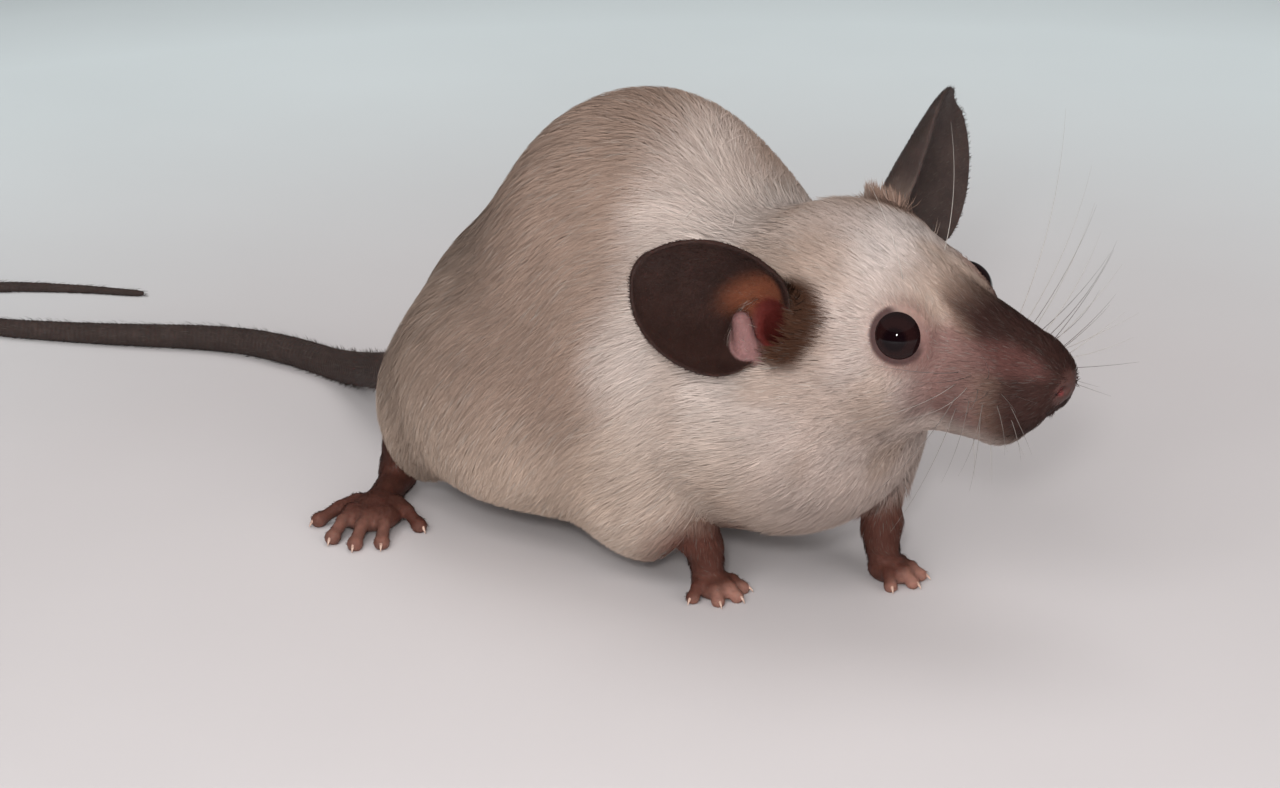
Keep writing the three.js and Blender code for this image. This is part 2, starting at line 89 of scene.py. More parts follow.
EYE_AT = np.array([-0.2, 4.3, -0.4])  # left, head frame
EYE_RADIUS = 2.15
EYE_AXIS = np.array([0.4, 0.86, 0.3])  # the way the left eye looks
EYE_OPENING = 2.0  # radius of the circle between the lids
LID_THICKNESS = 0.2
SOCKET_INSET = 0.25  # how much smaller than the eyeball its socket is, so that no gap shows

EARS = {
    "left": {"root": (-9.1, 4.5, 0.9), "axis": (0, 0.89, 0.46), "mouth": (1, 0, 0)},
    "right": {"root": (-10.1, 6.3, -1.3), "axis": (-0.19, 0.78, 0.6), "mouth": (0.9, 0.42, -0.12)},
}
EAR_LENGTH = 14.5
EAR_SPREAD = 11.7
EAR_ROOT_SHARE = 0.38
EAR_WIDEST = 0.4
EAR_CURL = np.radians([134, 36])
EAR_UNROLL = 0.6
EAR_TIP = 0.985  # share of the length where the leaf's outline closes
EAR_THICKNESS = (0.46, 0.3)  # along the middle and at the rim

WRIST_HEIGHT = 2.6
FORELEG = {
    "left": [(3, 7, 14), (3.4, 6.9, 8.8), (4.9, 6, 5.4), (5.6, 5.3, WRIST_HEIGHT)],
    "right": [(-2.6, -7.4, 14), (-3, -7.6, 9), (-2.2, -6.7, 5.6), (-1.7, -5.8, WRIST_HEIGHT)],
}
FORELEG_RADII = (2.8, 2.4, 1.6, 1.15)
LEG_POINTS = 7  # along the smooth curve of a foreleg
FOREFOOT = {"left": ((5.6, 5.3), np.radians(14)), "right": ((-1.7, -5.8), np.radians(-8))}
HINDFOOT = {
    "left": ((-29.5, 9.6), np.radians(14), (-27, 9.5, 11)),
    "right": ((-33.1, -7.7), np.radians(-57), (-29, -8.5, 11)),
}
FINGERS = [((0.7, -1), (1.2, -2.1)), ((1.6, -0.6), (2.8, -1)),
           ((1.6, 0.4), (3, 0.6)), ((1, 1), (1.9, 2))]
FINGER_RADII = (0.62, 0.46)
TOES = [((6.6, -1.6), (9, -4)), ((8.8, -1.4), (12.2, -2)), ((9.2, 0), (13.1, 0)),
        ((8.9, 1.3), (12.4, 1.9)), ((6.4, 1.5), (8.5, 3.8))]
TOE_RADII = (0.78, 0.56)
CLAW_LENGTH = 0.5

TAIL_DROP = [(-27, 0, 9.5), (-34, 0, 7.9), (-40, 0.5, 6), (-45.3, 1.9, 4.2), (-50.8, 4.1, 2.4)]
TAIL_FLOOR = [
    (-56, 5.5), (-61.3, 5.2), (-65.9, 4.2), (-69.8, 2.2), (-73.4, -0.4),
    (-77, -3), (-80.8, -5.5), (-84.8, -7.8), (-89.6, -9.2), (-94.3, -8.2), (-96.4, -4.8),
    (-94.4, -0.8), (-89.8, 3.6), (-84.2, 7.5),
]
TAIL_RADII = (1.78, 0.28)
TAIL_PRESS = 0.86

# ---- vectors and rounded forms


def lerp(a, b, share):
    return a + (b - a) * share


def smooth(x, low, high):
    share = np.clip((x - low) / (high - low), 0, 1)
    return share * share * (3 - 2 * share)


def length(v):
    return np.sqrt(np.einsum("...i,...i->...", v, v))


def unit(v):
    return v / np.maximum(length(v), 1e-9)[..., None]


def dot(a, b):
    return np.einsum("...i,...i->...", a, b)


def split(v):
    return v[..., 0], v[..., 1], v[..., 2]


def array(*values):
    return np.array(values, np.float32)


def turning(axis, angle):
    """Rotation matrix about one of the axes x, y, z."""
    c, s = np.cos(angle), np.sin(angle)
    i, j = {"x": (1, 2), "y": (2, 0), "z": (0, 1)}[axis]
    turn = np.eye(3)
    turn[i, i] = turn[j, j] = c
    turn[i, j], turn[j, i] = -s, s
    return turn


def mirrored(p, side=1):
    """p, with everything on the given side."""
    q = np.array(p, copy=True)
    q[..., 1] = side * np.abs(q[..., 1])
    return q


def melt(a, b, width):
    """Union of two distances that melts over a width."""
    share = np.clip(0.5 + 0.5 * (b - a) / width, 0, 1)
    return lerp(b, a, share) - width * share * (1 - share)


def carve(a, b, width):
    """Distance a with the shape b cut out of it, the edge rounded over a width."""
    return -melt(-a, b, width)


def ellipsoid(p, blob):
    centre, radii = array(*blob[0]), array(*blob[1])
    q = (p - centre) / radii
    near = length(q)
    return near * (near - 1) / np.maximum(length(q / radii), 1e-4)


def ball(p, centre, radius):
    return length(p - array(*centre)) - radius


def taper(p, start, end, radii):
    start, end = array(*start), array(*end)
    along = end - start
    share = np.clip((p - start) @ along / (along @ along), 0, 1)
    return length(p - start - share[..., None] * along) - lerp(radii[0], radii[1], share)


def chain(p, points, radii, width):
    """Tapers through a row of points, melted together."""
    d = None
    for start, end, r0, r1 in zip(points, points[1:], radii, radii[1:]):
        piece = taper(p, start, end, (r0, r1))
        d = piece if d is None else melt(d, piece, width)
    return d


def catmull(points, count):
    """Points along a centripetal Catmull-Rom curve, evenly spaced by length."""
    p = np.array([2 * np.array(points[0]) - points[1], *points, 2 * np.array(points[-1]) - points[-2]])
    t = np.linspace(0, 1, 41)[:, None]
    fine = []
    for a, b, c, d in zip(p, p[1:], p[2:], p[3:]):
        ab, bc, cd = (np.sqrt(np.linalg.norm(y - x)) for x, y in ((a, b), (b, c), (c, d)))
        leave = ((b - a) / ab - (c - a) / (ab + bc) + (c - b) / bc) * bc
        reach = ((c - b) / bc - (d - b) / (bc + cd) + (d - c) / cd) * bc
        cubic = (2 * b - 2 * c + leave + reach) * t**3 + (-3 * b + 3 * c - 2 * leave - reach) * t**2
        fine.append((cubic + leave * t + b)[:-1])
    fine = np.concatenate([*fine, p[-2:-1]])
    run = np.concatenate([[0], np.cumsum(np.linalg.norm(np.diff(fine, axis=0), axis=1))])
    at = np.linspace(0, run[-1], count)
    return np.stack([np.interp(at, run, fine[:, k]) for k in range(3)], 1)


# Smooth noise, 0 to 1, on a lattice of random numbers that repeats.
LATTICE = 32
lattice = np.random.default_rng(7).random((LATTICE,) * 3).astype(np.float32)


def noise(p, size, seed=0):
    q = p / size + 7.31 * seed + 100
    cell = np.floor(q).astype(np.int32)
    x, y, z = np.moveaxis(smooth(q - cell, 0, 1), -1, 0)
    i, j, k = np.moveaxis(cell % LATTICE, -1, 0)
    i1, j1, k1 = (i + 1) % LATTICE, (j + 1) % LATTICE, (k + 1) % LATTICE
    low = lerp(lerp(lattice[i, j, k], lattice[i1, j, k], x),
               lerp(lattice[i, j1, k], lattice[i1, j1, k], x), y)
    high = lerp(lerp(lattice[i, j, k1], lattice[i1, j, k1], x),
                lerp(lattice[i, j1, k1], lattice[i1, j1, k1], x), y)
    return lerp(low, high, z)


# ---- frames

head_axes = turning("z", HEAD_TURN) @ turning("y", HEAD_NOD) @ turning("x", HEAD_TILT)
head_axes = head_axes.astype(np.float32)


def to_head(p):
    return (p - HEAD_AT.astype(np.float32)) @ head_axes


def from_head(q):
    return q @ head_axes.T + HEAD_AT.astype(np.float32)


def eye_centre(side):
    return EYE_AT * (1, side, 1)


def from_eye(q):
    """Steps to places in the head's frame from the nearer eye's centre, as if on the left."""
    return mirrored(q) - EYE_AT.astype(np.float32)


def eye_gap(q):
    return length(from_eye(q)) - EYE_RADIUS


def corners_of(node):
    return [np.array(c) * 1000 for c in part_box(node)]


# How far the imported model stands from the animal's own frame, read from its left eye.
shift = sum(corners_of("eye_left")) / 2 - from_head(eye_centre(1))
shift[2] = 0

# ---- the form, out to the coat's tips


def trunk_form(p):
    d = ellipsoid(p, TRUNK[0])
    for blob in TRUNK[1:]:
        d = melt(d, ellipsoid(p, blob), TRUNK_MELT)
    m = mirrored(p)
    for part in (HAUNCH, FLANK):
        d = melt(d, ellipsoid(m, part), LIMB_MELT)
    for part in UPPER_ARMS + SHANKS:
        d = melt(d, ellipsoid(p, part), LIMB_MELT)
    return melt(d, taper(p, NECK_ROOT, from_head(array(*NAPE)), NECK_RADII), NECK_MELT)


def head_form(q):
    m = mirrored(q)
    d = melt(ellipsoid(q, CRANIUM), ellipsoid(m, CHEEK), 3)
    d = melt(d, taper(q, *BRIDGE), 2.5)
    d = melt(d, ellipsoid(m, ORBIT), 1.5)
    d = melt(d, ellipsoid(m, WHISKER_PAD), 1.5)
    d = melt(d, taper(q, *JAW), 2)
    return melt(d, ellipsoid(q, NOSE), 1)


def body_form(p):
    return melt(trunk_form(p), head_form(to_head(p)), HEAD_MELT)


# Depth of the coat, along the head's frame from the trunk out to the bare nose.
COAT_AT = (-15, -9, -3, 2, 5.5, 9, 10.3)
COAT_DEPTH = (1.25, 0.95, 0.6, 0.36, 0.22, 0.12, 0)


def coat_depth(q):
    depth = np.interp(q[..., 0], COAT_AT, COAT_DEPTH).astype(np.float32)
    return depth * lerp(0.3, 1, smooth(length(from_eye(q)), EYE_RADIUS, 4.4))


# ---- the skin

seam_normal = array(np.cos(NECK_LEAN), 0, np.sin(NECK_LEAN))


def foot_frame(at, turn):
    """A function that takes body points to a foot's frame, with its axes and place."""
    axes = turning("z", turn).astype(np.float32)
    place = array(*at, 0)
    return lambda p: (p - place) @ axes, axes, place


def digit_points(root, tip, radii, inner):
    """A toe's root, its raised middle joint and its tip, in the foot's frame."""
    start = np.array([root[0], root[1] * inner, radii[0] + 0.35])
    end = np.array([tip[0], tip[1] * inner, radii[1] * 0.8])
    return start, lerp(start, end, 0.45) + (0, 0, 0.32), end


def digit(p, spec, radii, inner):
    points = digit_points(*spec, radii, inner)
    waist = radii[1] * 0.84
    toe = chain(p, points, (radii[0], waist, waist), 0.3)
    return melt(toe, ball(p, points[2], radii[1]), 0.35)


def forefoot(q, inner):
    top = FORELEG_RADII[-1] - 0.1
    d = taper(q, (0, 0, WRIST_HEIGHT + 1), (0.3, 0, 1.4), (top, 1.05))
    d = melt(d, ellipsoid(q, ((1, 0, 0.72), (1.8, 1.4, 0.9))), 0.8)
    for finger in FINGERS:
        d = melt(d, digit(q, finger, FINGER_RADII, inner), 0.3)
    return d


def hindfoot(q, hock, inner):
    d = taper(q, hock, (0.2, 0, 1.9), (2.4, 1.35))
    d = melt(d, taper(q, (0, 0, 1.2), (7.2, 0, 1), (1.25, 1.1)), 1.2)
    d = melt(d, ellipsoid(q, ((8, 0, 0.95), (2.7, 2.3, 1.05))), 0.8)
    for toe in TOES:
        d = melt(d, digit(q, toe, TOE_RADII, inner), 0.4)
    return d


def limbs(p):
    """The four legs with their feet."""
    d = np.full(p.shape[:-1], FAR_AWAY, np.float32)
    for name, side in SIDES.items():
        route = catmull(FORELEG[name], LEG_POINTS)
        under_coat = np.linspace(0.5, 0.1, LEG_POINTS)
        radii = np.interp(np.linspace(0, 3, LEG_POINTS), range(4), FORELEG_RADII) - under_coat
        leg = chain(p, route, radii, 0.8)
        d = np.minimum(d, melt(leg, forefoot(foot_frame(*FOREFOOT[name])[0](p), -side), 0.8))
        heel, turn, shank = HINDFOOT[name]
        local = foot_frame(heel, turn)[0]
        d = np.minimum(d, hindfoot(local(p), local(array(*shank)), -side))
    return d


def body_skin(p):
    return melt(body_form(p) + coat_depth(to_head(p)), limbs(p), 1.6)


def ear_frame(name):
    """An ear's root and three axes in the head's frame: along it, out of its mouth and across."""
    spec = EARS[name]
    axis = unit(np.array(spec["axis"], float))
    mouth = np.array(spec["mouth"], float)
    mouth = unit(mouth - axis * (mouth @ axis))
    across = np.cross(mouth, axis)
    flip = np.array([1, SIDES[name], 1])
    return tuple((v * flip).astype(np.float32) for v in (spec["root"], axis, mouth, across))


def ear_width(share):
    rounded = np.clip((share - EAR_WIDEST) / (1 - EAR_WIDEST), 0, 1)
    root = lerp(EAR_ROOT_SHARE, 1, np.sin(np.pi / 2 * np.clip(share / EAR_WIDEST, 0, 1)))
    return EAR_SPREAD / 2 * root * np.sqrt(np.maximum(1 - rounded**2, 1e-4))


def ear_curl(share):
    return lerp(EAR_CURL[0], EAR_CURL[1], share**EAR_UNROLL)


def ear_section(q, name):
    """An ear as a leaf curled round its own axis, at points in the head's frame.

    Returns a point's share of the way out, its turn from the back as a share of the curl, its
    distance from the sheet's middle, and the radius of the curl there.
    """
    root, axis, mouth, across = ear_frame(name)
    p = q - root
    run = p @ axis
    share = np.clip(run / EAR_LENGTH, 0, EAR_TIP)
    curl = ear_curl(share)
    radius = ear_width(share) / curl
    a = p @ across
    m = radius - p @ mouth
    turn = np.arctan2(a, m)
    reach = np.clip(turn, -curl, curl)
    edge = np.sqrt((a - radius * np.sin(reach)) ** 2 + (m - radius * np.cos(reach)) ** 2)
    beyond = run - share * EAR_LENGTH
    return share, turn / curl, np.sqrt(edge**2 + beyond**2), radius


def ear(q, name):
    share, turn, off, _ = ear_section(q, name)
    thick = lerp(EAR_THICKNESS[0], EAR_THICKNESS[1], np.minimum(np.abs(turn), 1) ** 2)
    return off - thick / 2 * lerp(1.8, 1, smooth(share, 0, 0.3))


def lids(q, d):
    """A socket for each eye, with a rim of lid round it."""
    axis = unit(EYE_AXIS).astype(np.float32)
    off = from_eye(q)
    deep = off @ axis
    wide = length(off - deep[..., None] * axis)
    plane = np.sqrt(EYE_RADIUS**2 - EYE_OPENING**2)
    mound = -melt(-(length(off) - EYE_RADIUS - 0.22), -(deep - plane), 0.25)
    d = melt(d, mound, 0.7)
    rim = np.sqrt((wide - EYE_OPENING - 0.1) ** 2 + (deep - plane - 0.02) ** 2) - LID_THICKNESS / 2
    d = melt(d, rim, 0.2)
    return np.maximum(d, EYE_RADIUS - SOCKET_INSET - length(off))


def nose_and_mouth(q, d):
    m = mirrored(q)
    d = carve(d, taper(m, (11.4, 0.62, -3.15), (10.2, 1.5, -3.35), (0.2, 0.13)), 0.25)
    d = carve(d, ball(m, (11.1, 0.8, -3.1), 0.26), 0.25)
    d = carve(d, taper(q, (11.6, 0, -3.4), (10.4, 0, -5.6), (0.1, 0.12)), 0.35)
    return carve(d, chain(m, [(10.6, 0, -5.5), (8.6, 1.5, -5.9), (5.4, 3, -6.1)],
                          (0.12, 0.1, 0.06), 0.3), 0.35)


def ear_spot(name, share, turn, lift=0.0):
    """A point lift millimetres in front of an ear's sheet, turn running from rim to rim."""
    root, axis, mouth, across = ear_frame(name)
    curl = ear_curl(share)
    radius = ear_width(share) / curl
    arc = radius * (across * np.sin(curl * turn) - mouth * np.cos(curl * turn))
    return root + axis * share * EAR_LENGTH + mouth * (radius + lift) + arc


# Inside each ear: the canal, and the lobe that stands up in front of it, as [share, turn, lift].
# Dark down grows round ear_rim, a line along the front of the ear's root.
EAR_LOBE = [(0.1, -0.95, 0), (0.15, -0.5, 0.9), (0.24, -0.05, 1.1)]
LOBE_RADII = (0.75, 0.95, 0.65)
ear_lobe, ear_canal, ear_rim = {}, {}, {}
for ear_name in SIDES:
    ear_lobe[ear_name] = [ear_spot(ear_name, *spot) for spot in EAR_LOBE]
    canal_end = ear_spot(ear_name, 0.0, 0.0, 1.5) - ear_frame(ear_name)[1] * 2
    ear_canal[ear_name] = ear_spot(ear_name, 0.14, 0.2, 2.1), canal_end, (1.25, 0.8)
    ear_rim[ear_name] = [ear_spot(ear_name, share, 1.0, 0.9) for share in (0.0, 0.4)]


def lobe(q, name):
    return chain(q, ear_lobe[name], LOBE_RADII, 0.4)


def clear_of_ears(q):
    """1 where hair may grow, down to 0 inside the ears."""
    clear = np.ones(q.shape[:-1], np.float32)
    for name in SIDES:
        clear *= smooth(taper(q, *ear_canal[name]), 0.3, 0.9)
        clear *= smooth(lobe(q, name), 0.5, 1.1)
    return clear


def head_skin(p):
    q = to_head(p)
    d = melt(trunk_form(p), head_form(q), HEAD_MELT) + coat_depth(q)
    d = nose_and_mouth(q, lids(q, d))
    for name in SIDES:
        leaf = ear(q, name)
        root = ear_frame(name)[0]
        d = melt(d, leaf, lerp(1.3, 0.3, smooth(length(q - root), 4, 7)))
        d = carve(d, taper(q, *ear_canal[name]), 0.5)
        d = melt(d, lobe(q, name), 0.35)
    return d


# ---- meshing a distance function

BLOCK = 8  # voxels along a side of the blocks that are worked out only near the surface
BLOCKS_AT_ONCE = 600


def polygonise(form, low, high, step):
    """Vertices and quads of a form's surface inside a box."""
    blocks = np.ceil((np.array(high) - low) / step / BLOCK).astype(int)
    centres = np.stack(np.meshgrid(*(np.arange(n) for n in blocks), indexing="ij"), -1)
    centres = (low + (centres + 0.5) * BLOCK * step).astype(np.float32)
    coarse = form(centres)
    values = coarse.repeat(BLOCK, 0).repeat(BLOCK, 1).repeat(BLOCK, 2)
    near = np.argwhere(np.abs(coarse) < 1.25 * BLOCK * step)
    inner = np.stack(np.meshgrid(*(np.arange(BLOCK),) * 3, indexing="ij"), -1)
    for some in np.array_split(near, max(1, len(near) // BLOCKS_AT_ONCE)):
        index = some[:, None, None, None] * BLOCK + inner
        points = (low + (index + 0.5) * step).astype(np.float32)
        values[tuple(np.moveaxis(index, -1, 0))] = form(points)
    grid = openvdb.FloatGrid()
    grid.copyFromArray(values)
    points, quads = grid.convertToQuads()
    return low + (points + 0.5) * step, quads


def slope(form, p, reach=0.05):
    """Gradient of a form at points."""
    axes = np.eye(3, dtype=np.float32) * reach
    return np.stack([form(p + a) - form(p - a) for a in axes], -1) / (2 * reach)


def settle(form, p, rounds=2):
    """Points moved onto a form's surface."""
    for _ in range(rounds):
        rise = slope(form, p)
        steep = np.maximum(dot(rise, rise), 0.2)
        p = p - rise * np.clip(form(p) / steep, -0.2, 0.2)[:, None]
    return p


def raw_mesh(points, faces, name="part"):
    """A mesh from points and an array of faces that all have the same number of corners."""
    faces = np.asarray(faces, np.int32)
    mesh = bpy.data.meshes.new(name)
    mesh.vertices.add(len(points))
    mesh.vertices.foreach_set("co", np.asarray(points, np.float32).ravel())
    mesh.loops.add(faces.size)
    mesh.loops.foreach_set("vertex_index", faces.ravel())
    mesh.polygons.add(len(faces))
    mesh.polygons.foreach_set("loop_start", np.arange(0, faces.size, faces.shape[1], dtype=np.int32))
    mesh.update(calc_edges=True)
    return mesh


def show(name, mesh, material):
    """A smooth-shaded piece from a mesh in body-frame millimetres."""
    mesh.transform(Matrix.Translation(Vector(shift) / 1000) @ Matrix.Scale(0.001, 4))
    mesh.shade_smooth()
    mesh.materials.append(material)
    piece = bpy.data.objects.new(name, mesh)
    bpy.context.scene.collection.objects.link(piece)
    return piece


# ---- colours


def srgb(*levels):
    """Linear colour of levels from 0 to 255."""
    c = np.array(levels) / 255
    return np.where(c <= 0.04045, c / 12.92, ((c + 0.055) / 1.055) ** 2.4).astype(np.float32)


SADDLE = srgb(143, 121, 108)
RUMP = srgb(145, 125, 112)
COLLAR = srgb(191, 176, 168)
BELLY = srgb(174, 154, 139)
FACE = srgb(167, 150, 142)
MAUVE = srgb(106, 74, 69)
CROWN = srgb(204, 194, 190)
BROW = srgb(158, 136, 122)
UMBER = srgb(112, 88, 76)
SEAL = srgb(47, 28, 24)
MUZZLE = srgb(80, 50, 46)
LEG = srgb(78, 46, 38)
TOE = srgb(138, 99, 87)
# The left ear is the far one: its lighter, greyer colour is painted light from behind it.
EAR = {"left": srgb(60, 49, 46), "right": srgb(43, 27, 23)}
EAR_DOWN = srgb(60, 37, 25)
EAR_TUFT = srgb(128, 104, 92)
EAR_GLOW = srgb(126, 73, 51)
EAR_PINK = srgb(121, 87, 85)
# Dark red deep in the ear canal: painted shade in the hole.
EAR_CANAL_SHADE = srgb(88, 34, 30)
TAIL = srgb(55, 45, 42)
NOSE_SKIN = srgb(70, 46, 42)
NOSTRIL = srgb(140, 62, 64)
LID = srgb(66, 45, 43)


def blend(colour, other, share):
    return lerp(colour, other, share[..., None])


def painted(colour, *layers):
    """A colour with tints blended over it in turn, each by its share."""
    for tint, share in layers:
        colour = blend(colour, tint, share)
    return colour


def by_ear(q):
    """How near the front of an ear's root places in the head's frame are, from 0 to 1."""
    off = [taper(q, *rim, (0, 0)) for rim in ear_rim.values()]
    return smooth(-np.minimum(*off), -3.3, -2.1)


def coat_colour(p):
    """The markings of the trunk and head at body points, with painted light on the throat under the jaw.
    """
    x, _, z = split(p)
    q = to_head(p)
    along, side, high = split(mirrored(q))
    sway = noise(p, 5, 1) - 0.5
    border = -5.8 - np.maximum(z - 29, 0) + 4 * sway
    bib = smooth(x, -6, -2) * smooth(-z, -15, -9) * smooth(z, 3, 7)
    nape = smooth(along, -15, -11.5) * smooth(-along, 3, 7) * smooth(high, -3, 2)
    chest = smooth(x, -10, -4) * smooth(-z, -20, -11)
    colour = painted(
        SADDLE,
        (RUMP, smooth(-x, 16, 26)),
        (BELLY, smooth(-z, -16, -6) * 0.8),
        (COLLAR, smooth(x - border, -2.6, 2.6)),
        (BELLY, smooth(-z, -9, -4) * 0.5),
        (SADDLE, bib * 0.4),
        (SADDLE, nape * 0.4),
        (BELLY, chest * 0.6),
        (FACE, smooth(along, -12, -5) * 0.85),
    )
    # Lighter under the jaw: painted light that lifts the jaw's shadow off the throat.
    throat_painted_light = smooth(-high, 4.5, 7.5) * smooth(along, -6, -2) * smooth(-along, -5, -1)
    colour = colour * lerp(1, 1.1, throat_painted_light)[..., None]
    crown = smooth(high, 2, 4.8) * smooth(-np.abs(along + 3), -5, -0.5)
    temple = smooth(-length(mirrored(q) - array(-6.5, 5, 4.2)), -4.2, -1)
    blotches = smooth(along, -19, -11) * smooth(noise(p, 3.2, 7), 0.45, 0.8)
    cheek = smooth(along, -0.2, 2.8) * smooth(side, 1.0, 2.6) * smooth(-high, -2.6, -0.4)
    brow = smooth(along, -2.5, 1.5) * smooth(high, 0, 1.6)
    # The mask reaches further back along the bridge, and a mauve-brown band crosses the pads.
    bridge = smooth(-side, -3.4, -1.4) * smooth(high, -2.6, 0.4)
    mask = along + 4.2 * bridge - 0.9 * smooth(-high, 4.6, 7.5) + 1.6 * sway
    band = smooth(side, 1.0, 2.0) * smooth(-np.abs(high + 1.1), -1.5, -0.4)
    pad = smooth(-high, 1.2, 3)
    dark = lerp(lerp(SEAL, MUZZLE, 0.1 * pad[..., None]), MUZZLE, band[..., None])
    down = lerp(EAR_DOWN, EAR_TUFT, (q[..., 1] > 0)[..., None])
    round_eye = smooth(-eye_gap(q), -1.2, -0.2)
    colour = painted(
        colour,
        (CROWN, crown * 0.45),
        (BROW, temple * 0.7),
        (BROW, blotches * 0.6),
        (MAUVE, cheek * smooth(high, -7.4, -5.2) * 0.9),
        (BROW, brow * 0.8),
        (UMBER, smooth(mask, 4.0, 7.4) * (1 - band) * 0.9),
        (dark, smooth(mask + 0.8 * band, 4.8, 8.8)),
        (down, by_ear(q)),
        (MAUVE, round_eye * lerp(0.3, 0.7, smooth(along, -2, 1.5))),
    )
    # Brown where the forelegs come out of the coat.
    for at, _ in FOREFOOT.values():
        near = smooth(-length(p[..., :2] - array(*at)), -5.5, -2.4)
        colour = blend(colour, LEG * 1.3, near * smooth(-z, -8.5, -4.5))
    return colour


def foot_colour(p):
    """Legs and feet: dark down the leg, pink towards the toes."""
    pink = np.zeros(p.shape[:-1], np.float32)
    for name in SIDES:
        for foot, middle, edge, toes in (
            (FOREFOOT[name], 0, (-5.5, -4.5), (0.4, 2.2)),
            (HINDFOOT[name][:2], 7, (-9, -7.5), (7.2, 10.6)),
        ):
            q = foot_frame(*foot)[0](p)
            near = smooth(-length(q[..., :2] - (middle, 0)), *edge)
            pink = np.maximum(pink, near * smooth(q[..., 0] - q[..., 2], *toes))
    x, _, z = split(p)
    pink = np.minimum(pink, 0.9) * lerp(0.75, 1, noise(p, 0.7, 3)) * (1 - 0.5 * smooth(-x, 16, 20))
    return painted(LEG, (TOE, pink), (RUMP, smooth(z, 4.4, 8) * 0.85))


def ear_colour(q, name):
    """An ear's skin at places in the head's frame, lit through inside and hairy at its root. The far,
    left ear is painted lighter and greyer, as painted light from behind it.
    """
    share, turn, _, radius = ear_section(q, name)
    root, _, mouth, across = ear_frame(name)
    p = q - root
    inside = smooth(radius - np.hypot(p @ across, radius - p @ mouth), -0.05, 0.1)
    glow = inside * smooth(-share, -0.5, -0.28) * smooth(turn, -0.25, 0.3) * smooth(-turn, -0.95, -0.8)
    return painted(
        EAR[name] * lerp(0.8, 1.25, noise(q, 1.1, 5))[..., None],
        (EAR_GLOW, glow * 0.8),
        (BROW, (1 - inside) * smooth(-share, -0.34, -0.02) * 0.45),
        (EAR_PINK, smooth(-lobe(q, name), -0.25, -0.02)),
    )


def skin_colour(p, tail):
    """Skin colours, under the coat and where it is bare. tail is true on the tail's own vertices."""
    q = to_head(p)
    proud = body_form(p) + coat_depth(q)
    high = p[..., 2]
    leg = smooth(proud, -0.1, 0.7) * smooth(-high, -10, -6)
    colour = blend(coat_colour(p), foot_colour(p), leg)
    for name, side in SIDES.items():
        flap = lobe(q, name)
        on_ear = smooth(proud, 0.25, 1.0) * (high > 15) * (q[..., 1] * side > 3)
        on_ear = np.maximum(on_ear, smooth(-np.minimum(ear(q, name), flap), -0.7, -0.2))
        # Painted shade deep in each ear canal.
        deep = smooth(-taper(q, *ear_canal[name]), -0.9, -0.2) * smooth(flap, 0.05, 0.25)
        colour = painted(colour, (ear_colour(q, name), on_ear), (EAR_CANAL_SHADE, deep))
    slit = smooth(-length(mirrored(q) - array(11, 0.9, -3.15)), -0.4, -0.2)
    round_eye = smooth(-eye_gap(q), -0.45, -0.2)
    colour = painted(
        colour,
        (NOSE_SKIN, smooth(q[..., 0] - 0.25 * q[..., 2], 11.1, 11.8)),
        (NOSTRIL, slit),
        (LID, round_eye * smooth(np.abs(q[..., 1]), 4.5, 5)),
    )
    return np.where(tail[:, None], TAIL * lerp(0.85, 1.2, noise(p, 0.8, 4))[:, None], colour)


# ---- materials


def fill(node, **values):
    """Sets a node's own sockets, with _ for a space in their names."""
    for key, value in values.items():
        node.inputs[key.replace("_", " ")].default_value = value


def shader(name, roughness, bump=None, mottle=None, **inputs):
    """A material whose colour is the piece's own markings, with a fine mottle and bump.

    mottle is (size, depth) and bump is (size, height), with sizes and heights in millimetres.
    """
    made = bpy.data.materials.new(name)
    made.use_nodes = True
    nodes, links = made.node_tree.nodes, made.node_tree.links
    surface = nodes["Principled BSDF"]
    fill(surface, Roughness=roughness, **inputs)
    colour = nodes.new("ShaderNodeAttribute")
    colour.attribute_name = "Marking"
    place = nodes.new("ShaderNodeTexCoord")

    def grain(size, detail):
        texture = nodes.new("ShaderNodeTexNoise")
        fill(texture, Scale=1000 / size, Detail=detail)
        links.new(place.outputs["Object"], texture.inputs["Vector"])
        return texture.outputs["Fac"]

    output = colour.outputs["Color"]
    if mottle:
        size, depth = mottle
        span = nodes.new("ShaderNodeMapRange")
        fill(span, From_Min=0.3, From_Max=0.7, To_Min=1 - depth, To_Max=1 + depth)
        links.new(grain(size, 3), span.inputs["Value"])
        scale = nodes.new("ShaderNodeVectorMath")
        scale.operation = "SCALE"
        links.new(output, scale.inputs[0])
        links.new(span.outputs["Result"], scale.inputs["Scale"])
        output = scale.outputs["Vector"]
    links.new(output, surface.inputs["Base Color"])
    if bump:
        size, height = bump
        relief = nodes.new("ShaderNodeBump")
        fill(relief, Distance=height / 1000)
        links.new(grain(size, 2), relief.inputs["Height"])
        links.new(relief.outputs["Normal"], surface.inputs["Normal"])
    return made


def read(items, field, kind=np.float32):
    """A field with three numbers each, as an array."""
    values = np.empty(len(items) * 3, kind)
    items.foreach_get(field, values)
    return values.reshape(-1, 3)


def paint(piece, colours):
    """Writes linear colours, one for each vertex, as the piece's markings."""
    attribute = piece.data.color_attributes.new("Marking", "FLOAT_COLOR", "POINT")
    rgba = np.ones((len(colours), 4), np.float32)
    rgba[:, :3] = colours
    attribute.data.foreach_set("color", rgba.ravel())


def dress(piece, slot, *nodes):
    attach(piece, "root")
    if nodes:
        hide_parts(*nodes)


def add_piece(name, points, faces, material, colours, slot, *nodes):
    """A painted piece in place of the named nodes; slot is not used."""
    piece = show(name, raw_mesh(points, faces), material)
    paint(piece, colours)
    dress(piece, slot, *nodes)


# ---- tail and other tubes


